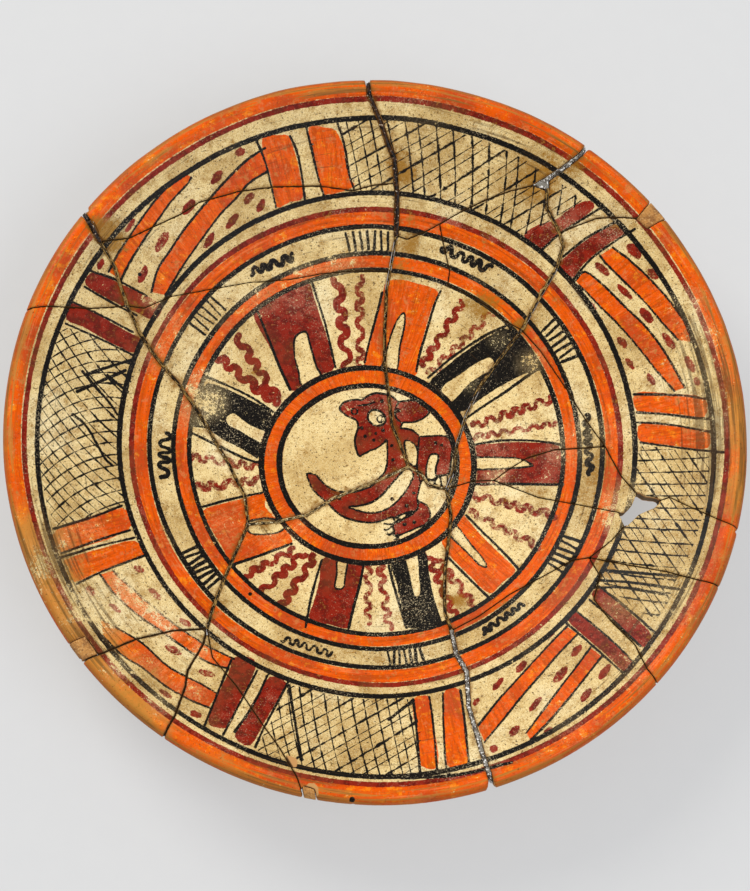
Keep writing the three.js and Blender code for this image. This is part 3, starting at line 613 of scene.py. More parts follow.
def paintPlate(x, y):
    # How deep each point of the inside lies in each paint, in mm, and what else the material is told of it
    rng = np.random.default_rng(seeds["painting"])
    depths = {paint: unpainted(x) for paint in ("orange", "maroon", "black")}
    for paint, radius, width, centre in paintedRings:
        ringDepth(depths[paint], rng, x, y, radius, width, centre)
    tones = {"ring": np.clip(np.maximum.reduce(list(depths.values())) + 1, 0, 1)}
    for paintPart in (paintRays, paintTondo, paintWaves, paintTicks, paintOuterBand):
        paintPart(depths, rng, x, y)
    depths["hatchZone"], tones["hatchA"], tones["hatchB"] = countHatching(rng, x, y)
    for name, places in patches.items():
        tones[name] = patchSum(x, y, places)
    return depths, tones


# The cracks, in hundredths of the rim radius: the kind of join, and the points that it runs through; wide and glued
# ones hold adhesive, open ones are narrow gaps, and hair ones are closed to a line
cracks = {
    "topRim": ("wide", [(-2.5, 102), (-2, 95.5), (1.5, 88.5), (3.5, 83.5), (5.5, 79.5), (6.5, 70), (6.5, 60)]),
    "topInner": ("glued", [(6.5, 60), (5.5, 54.5), (4, 46.5), (3.5, 34.5), (3.5, 25.5), (4.5, 17.5), (5.5, 8),
                           (8.5, 0.5), (10, -4)]),
    "centreLeft": ("glued", [(10, -4), (2.5, -7.5), (-3.5, -10), (-11.5, -13.5), (-18, -18), (-26.5, -20.5),
                             (-34.5, -21.5)]),
    "centreRight": ("glued", [(10, -4), (13.5, -6), (15.5, -9.5), (20.5, -10.5)]),
    "leftRim": ("wide", [(-81.5, 62.5), (-78.5, 57.5), (-75.5, 52.5)]),
    "leftShoulder": ("glued", [(-75.5, 52.5), (-71.5, 46.5), (-70, 42), (-68, 36.5)]),
    "leftInner": ("glued", [(-68, 36.5), (-64.5, 29.5), (-60, 23.5), (-53.5, 16.5), (-48.5, 9.5), (-44, 2), (-40, -4.5),
                            (-35.5, -13.5), (-34.5, -21.5)]),
    "shoulderHair": ("hair", [(-75.5, 52.5), (-67.5, 54.5), (-61.5, 58), (-53.5, 62.5), (-48.5, 66), (-38, 69.5),
                              (-28, 71.5), (-16, 72.5), (-6, 71.5), (0, 73), (6.1, 73.5)]),
    "sideHair": ("hair", [(-68, 36.5), (-63.5, 36.5), (-56, 40.5), (-46.5, 43), (-34.5, 46), (-23.5, 47.5),
                          (-14.5, 49.5), (-5.5, 50.5), (4.7, 50.5)]),
    "leftRimHair": ("hair", [(-97.5, 31.5), (-88.5, 33.5), (-77.5, 34.5), (-72.5, 35.5), (-68, 36.5)]),
    "lowerLeftInner": ("glued", [(-34.5, -21.5), (-38, -30), (-41, -37.5), (-44, -46), (-45.5, -52)]),
    "lowerLeftRim": ("open", [(-45.5, -52), (-46.5, -56.5), (-50.5, -64), (-51, -68.5), (-53.5, -76.5),
                              (-57.5, -84.5)]),
    "lowerLeftBranch": ("open", [(-45.5, -52), (-54.5, -53), (-64, -56), (-72.5, -60.5), (-80.5, -64)]),
    "bottomLeftHair": ("hair", [(-45.5, -52), (-44, -60), (-37.5, -68), (-31, -78), (-26.5, -84.5), (-22, -92.5),
                                (-19, -101.5)]),
    "bottomInner": ("glued", [(20.5, -10.5), (21.5, -18.5), (20.5, -26.5), (19.5, -33.5), (19, -41.5), (19, -46.5),
                              (20.5, -51.5)]),
    "bottomRim": ("wide", [(20.5, -51.5), (21.5, -58.5), (24, -63.5), (24, -73.5), (25.5, -80.5), (27, -87.5),
                           (29.5, -98.5)]),
    "lowerRightHair": ("hair", [(20.5, -51.5), (28, -47.5), (36.5, -41.5), (44, -37.5), (53.5, -32.5), (58, -32)]),
    "lowerRightRim": ("hair", [(58, -32), (60.5, -37.5), (58.5, -44), (62.5, -50.5), (68, -57.5), (70.5, -64.5),
                               (74.5, -70.5)]),
    "rightRimHair": ("hair", [(58, -32), (66.5, -34.5), (77.5, -37.5), (82.5, -39.5), (93.5, -43.5)]),
    "holeLower": ("hair", [(67.7, -23.5), (64, -27.5), (61.5, -29.5), (58, -32)]),
    "holeRight": ("hair", [(76.5, -17.3), (79.5, -16.5), (82.5, -18.5), (90.5, -23.5), (98.5, -28)]),
    "holeLeft": ("hair", [(20.5, -10.5), (27.5, -8.5), (33.5, -8.5), (38, -10.5), (45.5, -14), (55.5, -16.5),
                          (66.5, -19.7)]),
    "ringTwig": ("hair", [(33.5, -8.5), (37.5, -5.5), (42.5, -2.5), (50, -0.5), (63.5, -0.5)]),
    "rightInner": ("glued", [(41.5, 33.5), (36, 26.5), (30, 18.5), (26, 10), (23.5, 2), (22.5, -5.5), (20.5, -10.5)]),
    "rightMiddle": ("glued", [(47.7, 70.5), (48, 65.5), (51.5, 59), (52.5, 55.5), (51, 50), (46.5, 42.5),
                              (41.5, 33.5)]),
    "upperRightRim": ("wide", [(60.5, 83.5), (56.5, 78.5), (52, 75.5), (47, 72.5)]),
    "topRightHair": ("hair", [(6.5, 60), (9.5, 59), (14.5, 61), (18.5, 63), (24.5, 66), (30.5, 68.5), (37.5, 70.5),
                              (44.5, 71.7)]),
    "upperRingHair": ("hair", [(18.5, 63), (19.5, 58.5), (21.5, 50.5), (21, 46.5), (25.5, 44.5), (32, 40.5),
                               (36.5, 36.5), (41.5, 33.5)]),
    "rightRingHair": ("hair", [(41.5, 33.5), (46.5, 27.5), (53.5, 16.5), (58.5, 7.5), (63.5, -0.5), (67.5, -9.5),
                               (71.3, -14.8)]),
    "upperRightHair": ("hair", [(51.5, 59), (56, 60.5), (61.5, 62), (68, 61.5), (73, 60.5)]),
}

# Flakes that have come off the painted face: outline in mm
flakes = [
    [(-37, -130.5), (-33, -131.5), (-33, -135), (-36, -134.5)],
    [(-120, -86.5), (-115.5, -84.5), (-112.5, -89), (-117, -93.5)],
    [(-30, -143), (-26, -141.5), (-24.5, -146), (-28, -148)],
]


crackReach = 8.0  # how far from a crack its distance still counts, in mm
openHalf = 0.35  # half the width of an open crack
# Below the surface the walls of a crack without adhesive are drawn together, so that no light comes through: those
# nearer than "near", fading out to "reach", and from "shallow" under the skin, fading in to "deep", all in mm
closing = {"share": 0.96, "near": 0.7, "reach": 1.1, "shallow": 0.35, "deep": 1.0}


def crackPath(name):
    return np.array(cracks[name][1], float) * plate["rimRadius"] / 100


def crackGaps(x, y, kinds):
    # The distance from each point to the nearest crack of these kinds
    depth = np.full(len(x), -crackReach)
    for name, (kind, _) in cracks.items():
        if kind in kinds:
            path = crackPath(name)
            near = nearPoints(x, y, path, crackReach)
            if near.size:
                gaps, _ = gapsToPath(x[near], y[near], path)
                depth[near] = np.maximum(depth[near], -gaps.min(axis=1))
    return -depth


# The form of the plate: where the lip's round edge meets the inside and the outside
lipSlope = math.atan2(2 * plate["depth"], plate["rimRadius"] - plate["lip"])
lipCentre = (plate["rimRadius"] - plate["lip"], plate["floor"] + plate["depth"] - plate["lip"] * math.cos(lipSlope))
insideEnd = lipCentre[0] - plate["lip"] * math.sin(lipSlope)
outsideEnd = (2 * lipCentre[0] - insideEnd, 2 * lipCentre[1] - plate["floor"] - plate["depth"])


def insideCurve(t):
    return insideEnd * t, plate["floor"] + plate["depth"] * t ** 2


def outsideCurve(t):
    # From the middle of the base level out, and then up on the curve that ends in the lip
    bend = outsideEnd[0] - outsideEnd[1] / math.tan(lipSlope)
    x = plate["base"] * (1 - t) ** 2 + 2 * bend * t * (1 - t) + outsideEnd[0] * t ** 2
    return np.append(0, x), np.append(0, outsideEnd[1] * t ** 2)


def heightOn(curve, steps, r):
    x, z = curve(np.linspace(0, 1, steps + 1))
    return np.interp(r, x, z)


fine = 400  # steps of the smooth curves


def insideHeight(r):
    return heightOn(insideCurve, fine, r)


def slopeOf(curve, r):
    # The rise over a millimetre
    return heightOn(curve, fine, r + 0.5) - heightOn(curve, fine, r - 0.5)


def smoothStep(value, low, high):
    t = np.clip((value - low) / (high - low), 0, 1)
    return t * t * (3 - 2 * t)


def noiseField(seed, size, count=24):
    # Smooth random hills over the plate, the same on each run: a sum of waves in random directions
    rng = np.random.default_rng(seed)
    heading = rng.uniform(0, 2 * np.pi, count)
    length = size * rng.uniform(0.6, 1.8, count)
    kx, ky = 2 * np.pi / length * np.cos(heading), 2 * np.pi / length * np.sin(heading)
    phase = rng.uniform(0, 2 * np.pi, count)
    return lambda x, y: np.cos(np.outer(x, kx) + np.outer(y, ky) + phase).sum(axis=1) / count ** 0.5


hills = noiseField(seeds["hills"], 55)  # the hand's pressure on the wall, some 55 mm from hill to hill
ripples = noiseField(seeds["ripples"], 14)
crumbs = noiseField(seeds["crumbs"], 3.2)  # where an edge has crumbled


def unevenShare(x, y):
    return smoothStep(np.hypot(x, y), handMade["evenTo"], handMade["unevenFrom"])


def unevenRise(x, y, rough):
    return unevenShare(x, y) * handMade["unevenness"] * hills(x, y) + rough * crumbs(x, y)


def smoothForm(place):
    # The flat faces of the CAD sherd are rounded out to the true curves. Also tells, for each point, its share of
    # the way from the underside (0) to the inside (1), and how deep it lies under the fired skin.
    x, y, z = place.T
    r = np.hypot(x, y)
    step = 2 * np.pi / plate["turns"]
    off = np.mod(np.arctan2(y, x), step) - step / 2
    full = r * np.cos(off) / np.cos(step / 2)
    low, high = heightOn(outsideCurve, plate["outsideSteps"], full), heightOn(insideCurve, plate["insideSteps"], full)
    trueLow, trueHigh = heightOn(outsideCurve, fine, full), insideHeight(full)
    share = np.clip((z - low) / np.maximum(high - low, 1), 0, 1)
    body = z + share * (trueHigh - high) + (1 - share) * (trueLow - low)
    lipX, lipZ = full - lipCentre[0], z - lipCentre[1]
    out = np.hypot(lipX, lipZ)
    lipStep = math.pi / plate["lipSteps"]
    turn = np.mod(np.arctan2(lipZ, lipX) - lipSlope + math.pi / 2, lipStep) - lipStep / 2
    grow = 1 + plate["lip"] * (1 - math.cos(lipStep / 2) / np.cos(turn)) / np.maximum(out, 1)
    atLip = smoothStep(full, insideEnd, lipCentre[0])
    newR = full + atLip * lipX * (grow - 1)
    newZ = body * (1 - atLip) + (lipCentre[1] + lipZ * grow) * atLip
    aboveMiddle = newZ - (lipCentre[1] + lipX * math.tan(lipSlope))
    lipShare = np.clip(0.5 + aboveMiddle * math.cos(lipSlope) / (2 * plate["lip"]), 0, 1)
    share = np.where(full > insideEnd, lipShare, share)
    under = (insideHeight(full) - newZ) / np.hypot(1, slopeOf(insideCurve, full))
    over = (newZ - trueLow) / np.hypot(1, slopeOf(outsideCurve, full))
    skin = np.minimum(under, over)
    # Beyond the middle of the lip only its round edge counts
    withLip = np.minimum(np.where(lipX > 0, np.inf, np.maximum(skin, 0)), plate["lip"] - out * grow)
    skin = np.where(full > insideEnd, withLip, skin)
    scale = newR / np.maximum(r, 1e-6)
    return np.stack([x * scale, y * scale, newZ], axis=1), share, np.maximum(skin, 0)


def ownCopy(name, node):
    # A new piece from a node's CAD solid, with its loose triangles joined up
    piece = bpy.data.objects.new(name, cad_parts[node].data.copy())
    scene.collection.objects.link(piece)
    piece.select_set(True)
    bpy.context.view_layer.objects.active = piece
    piece.data.materials.clear()
    bpy.ops.object.mode_set(mode="EDIT")
    bpy.ops.mesh.select_all(action="SELECT")
    bpy.ops.mesh.remove_doubles(threshold=0.01 * mm)
    bpy.ops.object.mode_set(mode="OBJECT")
    return piece


def applyModifier(piece, kind, **settings):
    bpy.context.view_layer.objects.active = piece
    modifier = piece.modifiers.new(kind.title(), kind)
    for setting, value in settings.items():
        setattr(modifier, setting, value)
    bpy.ops.object.modifier_apply(modifier=modifier.name)


def remakeFinely(piece, voxel, factor, passes):
    applyModifier(piece, "REMESH", mode="VOXEL", voxel_size=voxel * mm, use_smooth_shade=True)
    applyModifier(piece, "SMOOTH", factor=factor, iterations=passes)


def getPlaces(mesh):
    flat = np.empty(len(mesh.vertices) * 3)
    mesh.vertices.foreach_get("co", flat)
    return flat.reshape(-1, 3) / mm


def setPlaces(mesh, places):
    mesh.vertices.foreach_set("co", (places * mm).ravel())
    mesh.update()


def setValues(mesh, name, values):
    attribute = mesh.attributes.new(name, "FLOAT", "POINT")
    attribute.data.foreach_set("value", np.asarray(values, np.float32))


def finishPiece(piece, material, node):
    piece.data.materials.clear()
    piece.data.materials.append(material)
    bpy.ops.object.select_all(action="DESELECT")
    piece.select_set(True)
    bpy.context.view_layer.objects.active = piece
    bpy.ops.object.shade_smooth()
    piece.select_set(False)
    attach(piece, "root")
    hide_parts(node)


sherds = [
    "rim_sherd_top_left", "rim_sherd_top_right", "rim_sherd_upper_right", "rim_sherd_right", "rim_sherd_right_lower",
    "rim_sherd_right_small", "rim_sherd_bottom_right", "rim_sherd_bottom_left", "rim_sherd_lower_left",
    "rim_sherd_left", "rim_sherd_left_upper", "wall_sherd_upper_left", "wall_sherd_upper_right", "wall_sherd_right",
    "centre_sherd_left", "centre_sherd_upper_right", "centre_sherd_right", "centre_sherd_lower_right",
    "base_sherd_bottom",
]


def dressSherd(name, order, material):
    piece = ownCopy("painted_" + name, name)
    remakeFinely(piece, voxel=0.6, factor=0.4, passes=2)
    places, share, skin = smoothForm(getPlaces(piece.data))
    x, y, z = places.T
    values = paintValues(x, y, z, share)
    values["skin"] = skin
    flaked = unpainted(x)
    for flake in flakes:
        fillArea(flaked, x, y, roundedPath(flake, closed=True, steps=2))
    values["flaked"] = np.clip(flaked, -tellWithin, tellWithin)
    values["glue"] = crackGaps(x, y, ("wide", "glued"))
    values["crack"] = np.minimum(crackGaps(x, y, ("hair",)), crackGaps(x, y, ("open",)) - openHalf)

    # Each sherd sits a hair higher or lower than the next, and leans a little
    rng = np.random.default_rng(seeds["sherds"] + order)
    loose = unevenShare(x, y)
    lift = rng.uniform(-1, 1) * handMade["sherdStep"]
    lift = lift + rng.uniform(-1, 1, 2) @ np.stack([x, y]) * handMade["sherdTilt"]
    # Its edges are worn round, and chipped where they crumbled; at the hair cracks they are worn less
    chip = smoothStep(crumbs(x, y), 0.9, 1.8)
    gap = np.minimum(values["glue"], values["crack"] + 0.45)
    width = handMade["grooveWidth"] * (1 + 0.45 * ripples(x, y)) + handMade["chipWidth"] * chip
    groove = handMade["grooveDepth"] * (1 + 0.8 * chip) * (1 - smoothStep(gap, 0, np.maximum(width, 0.3)))
    flake = handMade["flakeDepth"] * smoothStep(flaked, -0.3, 0.6)
    places[:, :2] += closeUnder(x, y, skin)
    rise = handMade["unevenness"] * hills(x, y) + handMade["ripple"] * ripples(x, y) + lift
    places[:, 2] += loose * rise - smoothStep(share, 0.5, 0.9) * (groove + flake)
    setPlaces(piece.data, places)
    for key, value in values.items():
        setValues(piece.data, key, value)
    finishPiece(piece, material, name)
    return len(piece.data.polygons)


def closeUnder(x, y, skin):
    move, nearest = np.zeros((len(x), 2)), np.full(len(x), closing["reach"])
    for name, (kind, _) in cracks.items():
        path = crackPath(name)
        near = nearPoints(x, y, path, closing["reach"])
        if kind in ("open", "hair") and near.size:
            gaps, along = gapsToPath(x[near], y[near], path)
            piece = gaps.argmin(axis=1)
            rows = np.flatnonzero(gaps.min(axis=1) < nearest[near])
            near, piece = near[rows], piece[rows]
            foot = path[piece] + along[rows, piece, None] * (path[piece + 1] - path[piece])
            move[near] = foot - np.stack([x[near], y[near]], axis=1)
            nearest[near] = gaps[rows, piece]
    share = closing["share"] * (1 - smoothStep(nearest, closing["near"], closing["reach"]))
    return move * (share * smoothStep(skin, closing["shallow"], closing["deep"]))[:, None]


def paintValues(x, y, z, share):
    # The painting is on the inside, but over the lip the orange runs down the outside for a few millimetres
    inner, outer = share > 0.5, share <= 0.5
    depths, tones = paintPlate(x[inner], y[inner])
    values = {}
    for name, depth in depths.items():
        values[name] = unpainted(x)
        values[name][inner] = np.clip(depth, -tellWithin, tellWithin)
    for name, tone in tones.items():
        values[name] = np.zeros(len(x))
        values[name][inner] = tone
    values["orange"][outer] = np.clip(z[outer] - lipPaintEnd, -tellWithin, tellWithin)
    values["ring"][outer] = 1
    values["side"] = share
    return values


def linear(code):
    # An sRGB hex colour as the linear values that the shaders take
    parts = [int(code[i:i + 2], 16) / 255 for i in (1, 3, 5)]
    return [p / 12.92 if p < 0.04045 else ((p + 0.055) / 1.055) ** 2.4 for p in parts] + [1]


def newMaterial(name):
    material = bpy.data.materials.new(name)
    material.use_nodes = True
    tree = material.node_tree
    shader = tree.nodes["Principled BSDF"]
    return material, tree, shader


def addNode(tree, kind, inputs=(), out=0, **settings):
    # One node with its settings; an input is a number or another node's output
    node = tree.nodes.new("ShaderNode" + kind)
    for name, value in settings.items():
        setattr(node, name, value)
    for key, value in inputs.items() if isinstance(inputs, dict) else enumerate(inputs):
        if isinstance(value, bpy.types.NodeSocket):
            tree.links.new(value, node.inputs[key])
        elif value is not None:
            node.inputs[key].default_value = value
    return node.outputs[out]


def layCoats(tree, colour, coats):
    # Each coat covers what is under it where its source lies between two bounds, up to its strongest share
    for source, low, high, most, paint in coats:
        share = addNode(tree, "MapRange", {0: source, 1: low, 2: high, 4: most}, interpolation_type="SMOOTHSTEP")
        colour = addNode(tree, "Mix", {0: share, 6: colour, 7: paint}, 2, data_type="RGBA")
    return colour


# Painted slip: a fine clay wash in earth colours, rubbed smooth with a pebble before firing. It gives a soft sheen,
# brush streaks round the plate, crisp but wavering edges, and a speckle where grit and age have broken it.
slipPaint = {
    "cream": "#E8CE90", "creamDark": "#BE9A5C", "creamPale": "#F0E2B6", "creamGold": "#D8B064", "creamOld": "#9A783E",
    "orange": "#E05602", "orangeDark": "#AA4202", "orangeRed": "#C83804", "orangePale": "#E88E54",
    "orangeGold": "#EE8810", "ochre": "#BA8136", "lipPaintedShade": "#7A4014",
    "maroon": "#851F0E", "maroonDark": "#561009", "maroonPale": "#A45844",
    "black": "#120F0C", "blackPale": "#4A4032", "scratch": "#CDBB94", "speck": "#45301A",
    "stain": "#94661A", "grime": "#6E5430", "glueStain": "#74460F", "glueDirt": "#180D06", "crackLineAndShade": "#24160A",
    "clay": "#B98A55", "core": "#7A6850", "buff": "#C09460", "buffDark": "#94653A", "smoke": "#4A4038",
}
# The clouds and specks of the slip: width in mm, detail, roughness. The grit is drawn coarser than its real 0.2 mm.
slipGrain = {
    "cloud": (24, 4, 0.5), "mottle": (5, 6, 0.7), "grain": (1.3, 5, 0.75), "grit": (0.6, 3, 0.6),
    "fine": (0.42, 3, 0.7), "pits": (0.9, 2, 0.5), "edge": (1.6, 3, 0.5), "dash": (4, 2, 0.5), "smoke": (60, 3, 0.5),
}
# What dressSherd tells the material for each point of a sherd
slipValues = (
    "orange", "maroon", "black", "hatchZone", "hatchA", "hatchB", "ring", "worn", "stained", "ochre", "dirty",
    "side", "skin", "flaked", "crack", "glue",
)
# How a paint is built up coat by coat: what tells where a coat lies, the bounds between which it comes in, its
# strongest share and its colour
slipCoats = {
    "cream": [
        ("cloud", 0.5, 0.34, 0.6, "creamGold"), ("cloud", 0.5, 0.7, 0.6, "creamPale"),
        ("mottle", 0.5, 0.6, 0.55, "creamDark"), ("stainsAndOutwardDarkening", 0.02, 0.7, 0.8, "creamOld"),
        ("tooth", 0.52, 0.6, 0.4, "creamDark"), ("fine", 0.46, 0.38, 0.6, "creamPale"),
        ("fine", 0.54, 0.62, 0.65, "creamOld"), ("grain", 0.57, 0.65, 0.6, "creamOld"),
        ("pits", 0.62, 0.67, 0.8, "speck"),
    ],
    "orange": [
        ("cloud", 0.52, 0.38, 0.8, "orangeRed"), ("mottle", 0.52, 0.62, 0.6, "orangeRed"),
        ("mottle", 0.46, 0.36, 0.75, "orangeGold"), ("streak", 0.47, 0.62, 0.7, "orangeDark"),
        ("streak", 0.42, 0.32, 0.4, "orangePale"), ("grain", 0.56, 0.66, 0.5, "orangeDark"),
        ("thin", 0.57, 0.66, 0.6, "orangePale"), ("tooth", 0.53, 0.6, 0.4, "orangeDark"),
        ("mottle", 0.55, 0.66, 0.5, "orangePale"), ("fine", 0.56, 0.64, 0.4, "orangeDark"),
        ("yellowed", 0.18, 0.75, 0.85, "ochre"), ("lipWorn", 0.5, 0.64, 0.7, "ochre"),
        # Painted shade: the last coat browns the orange where the lip curves over to the outside
        ("pits", 0.66, 0.71, 0.6, "speck"), ("side", 0.98, 0.6, 0.5, "lipPaintedShade"),
    ],
    "maroon": [
        ("dusty", 0.54, 0.7, 0.65, "maroonPale"), ("mottle", 0.45, 0.57, 0.8, "maroonDark"),
        ("thin", 0.57, 0.66, 0.6, "maroonPale"), ("scuffed", 0.66, 0.72, 0.4, "scratch"),
    ],
    "black": [("thin", 0.57, 0.66, 0.8, "blackPale"), ("scuffed", 0.66, 0.72, 0.55, "scratch")],
    # The plain underside: buff clay wiped with a wet hand, smoke clouds from the fire
    "buff": [
        ("cloud", 0.48, 0.66, 0.6, "clay"), ("mottle", 0.5, 0.64, 0.5, "buffDark"),
        ("streak", 0.48, 0.68, 0.4, "buffDark"), ("tooth", 0.52, 0.6, 0.3, "buffDark"),
        ("smoke", 0.56, 0.68, 0.6, "smoke"), ("pits", 0.62, 0.68, 0.6, "speck"),
    ],
    # Broken edges and flakes show the raw clay, grey in its core where the fire didn't reach, and painted shade darkens
    # the broken walls near a crack
    "clay": [("deep", 1.6, 2.6, 1, "core"), ("crack", 1.1, 0.5, 0.9, "crackLineAndShade")],
    # Stains, age and old adhesive have toned the light paints, but not the black
    "toned": [
        ("cloud", 0.5, 0.36, 0.2, "grime"), ("patchy", 0.55, 0.66, 0.65, "stain"),
        ("stains", 0.05, 0.65, 0.8, "stain"), ("soaked", 1.4, 4, 0.6, "glueStain"),
    ],
    # Over all lie streaks of dirt on the rim, dark adhesive along the glued joins, and dirt in the hair cracks
    "soiled": [
        ("dirt", 0.6, 0.75, 0.6, "speck"), ("gummed", 0.1, 0.8, 0.9, "glueDirt"),
        ("hazed", 0.2, 1.6, 0.4, "grime"), ("line", -0.05, 0.2, 0.9, "crackLineAndShade"),
    ],
}


def slipMasks(tree):
    # All that tells where a coat lies: the values of the sherd's points, the grains, and what is worked out of them
    add = partial(addNode, tree)
    place = add("TexCoord", out=3)
    at = {name: add("Attribute", out=2, attribute_name=name) for name in slipValues}
    for name, (size, detail, rough) in slipGrain.items():
        at[name] = add("TexNoise", {"Vector": place, "Scale": 1 / (size * mm), "Detail": detail, "Roughness": rough})

    # Brush streaks run round the plate in the rings and along the radius in the bars and rays: some 1.1 mm wide, and
    # 30 or 10 mm long
    flat = add("VectorMath", [place, (1, 1, 0)], operation="MULTIPLY")
    radius = add("VectorMath", [flat], 1, operation="LENGTH")
    heading = add("VectorMath", [flat], operation="NORMALIZE")
    streaks = []
    for across, along in ((4.5, 900), (95, 90)):
        turned = add("VectorMath", {0: heading, 3: across}, operation="SCALE")
        lifted = add("CombineXYZ", [0, 0, add("Math", [radius, along], operation="MULTIPLY")])
        vector = add("VectorMath", [turned, lifted], operation="ADD")
        streaks.append(add("TexNoise", {"Vector": vector, "Scale": 1, "Detail": 4, "Roughness": 0.6}))
    at["streak"] = add("Mix", {0: at["ring"], 2: streaks[1], 3: streaks[0]})
    # The tooth of the slip: two crossed grains, 3.3 mm long and 0.9 mm wide
    tooth = [add("TexNoise", {"Vector": add("Mapping", {"Vector": place, "Scale": size}), "Scale": 1, "Detail": 3,
                              "Roughness": 0.6}) for size in ((300, 1150, 300), (1150, 300, 300))]
    at["tooth"] = add("Math", [add("Math", tooth, operation="ADD"), 0.5], operation="MULTIPLY")

    # The edge of every stroke wavers with the hand and with the grain of the slip, by about 0.25 mm
    waver = add("Math", [at["edge"], 0.6, -0.3], operation="MULTIPLY_ADD")
    at["waver"] = add("Math", [at["grit"], 0.5, add("Math", [waver, 0.25], operation="SUBTRACT")],
                      operation="MULTIPLY_ADD")
    # Wear takes the paint off in patches with frayed edges, and thins what is left
    at["patchy"] = add("Math", [add("Math", [at["mottle"], at["grain"]], operation="ADD"), 0.5], operation="MULTIPLY")
    rubbed = add("Math", [at["worn"], -0.13, add("Math", [at["patchy"], 0.355], operation="SUBTRACT")],
                 operation="MULTIPLY_ADD")
    frayed = add("Math", [at["worn"], add("Math", [at["fine"], 0.5], operation="SUBTRACT")], operation="MULTIPLY")
    rubbed = add("Math", [frayed, 0.38, rubbed], operation="MULTIPLY_ADD")
    left = add("MapRange", {0: rubbed, 1: -0.02, 2: 0.03}, interpolation_type="SMOOTHSTEP")
    faded = add("MapRange", {0: at["worn"], 1: 0.2, 2: 1.2, 3: 1, 4: 0.75})
    at["kept"] = add("Math", [left, faded], operation="MULTIPLY")

    at["thin"] = add("Math", [at["worn"], 0.16, at["grain"]], operation="MULTIPLY_ADD")
    at["dusty"] = add("Math", [at["worn"], 0.16, at["cloud"]], operation="MULTIPLY_ADD")
    # The cream darkens toward the rim, from 40 to 88 mm out, and where it is stained
    outward = add("MapRange", {0: radius, 1: 40 * mm, 2: 88 * mm, 4: 0.3})
    stainsAndOutwardDarkening = add("Math", [at["stained"], 0.6, outward], operation="MULTIPLY_ADD")
    at["stainsAndOutwardDarkening"] = add("Math", [at["mottle"], 0.9, add("Math", [stainsAndOutwardDarkening, 0.5], operation="SUBTRACT")],
                     operation="MULTIPLY_ADD")
    # The bright scratches of the dark paints lie in clouds, and where the plate is worn
    scuffed = add("Math", [at["grit"], 0.23], operation="SUBTRACT")
    scuffed = add("Math", [at["cloud"], 0.5, scuffed], operation="MULTIPLY_ADD")
    at["scuffed"] = add("Math", [at["worn"], 0.09, scuffed], operation="MULTIPLY_ADD")
    at["yellowed"] = add("Math", [at["mottle"], 1.1, add("Math", [at["ochre"], 0.45], operation="SUBTRACT")],
                         operation="MULTIPLY_ADD")
    onLip = add("MapRange", {0: radius, 1: 136 * mm, 2: 149 * mm, 3: -0.3, 4: 0.1})
    at["lipWorn"] = add("Math", [streaks[0], onLip], operation="ADD")

    # The hatching: lines some 0.7 mm wide and 4 to 5 mm apart, thicker and thinner along their length
    breadth = add("Math", [at["dash"], 1.2, -0.26], operation="MULTIPLY_ADD")
    inks = []
    for name in ("hatchA", "hatchB"):
        nearest = add("Math", [at[name]], operation="ROUND")
        off = add("Math", [add("Math", [at[name], nearest], operation="SUBTRACT")], operation="ABSOLUTE")
        inks.append(add("Math", [off, -5.2, breadth], operation="MULTIPLY_ADD"))
    lines = add("Math", [add("Math", inks, operation="MAXIMUM"), at["hatchZone"]], operation="MINIMUM")
    at["blackAndLines"] = add("Math", [at["black"], lines], operation="MAXIMUM")

    at["stains"] = add("Math", [at["patchy"], 2.6, add("Math", [at["stained"], 1.55], operation="SUBTRACT")],
                       operation="MULTIPLY_ADD")
    at["soaked"] = add("Math", [at["mottle"], 7, add("Math", [0.6, at["glue"]], operation="SUBTRACT")],
                       operation="MULTIPLY_ADD")
    nearRim = add("MapRange", {0: radius, 1: 121 * mm, 2: 131 * mm, 4: 0.22})
    at["dirt"] = add("Math", [at["dirty"], nearRim, streaks[0]], operation="MULTIPLY_ADD")
    spread = add("MapRange", {0: radius, 1: 95 * mm, 2: 122 * mm, 3: -0.75, 4: -0.3})
    at["gummed"] = add("Math", [at["grain"], 2.4, add("Math", [spread, at["glue"]], operation="SUBTRACT")],
                       operation="MULTIPLY_ADD")
    at["hazed"] = add("Math", [at["mottle"], 3.2, add("Math", [-0.4, at["crack"]], operation="SUBTRACT")],
                      operation="MULTIPLY_ADD")
    at["line"] = add("Math", [at["edge"], 0.9, add("Math", [-0.25, at["crack"]], operation="SUBTRACT")],
                     operation="MULTIPLY_ADD")

    at["deep"] = add("Math", [at["skin"], at["mottle"]], operation="ADD")
    broken = add("Math", [at["grain"], 0.4, at["skin"]], operation="MULTIPLY_ADD")
    broken = add("MapRange", {0: broken, 1: 0.5, 2: 0.75}, interpolation_type="SMOOTHSTEP")
    flaked = add("Math", [at["flaked"], at["waver"]], operation="ADD")
    flaked = add("MapRange", {0: flaked, 1: -0.2, 2: 0.2}, interpolation_type="SMOOTHSTEP")
    at["bare"] = add("Math", [broken, flaked], operation="MAXIMUM")
    return at


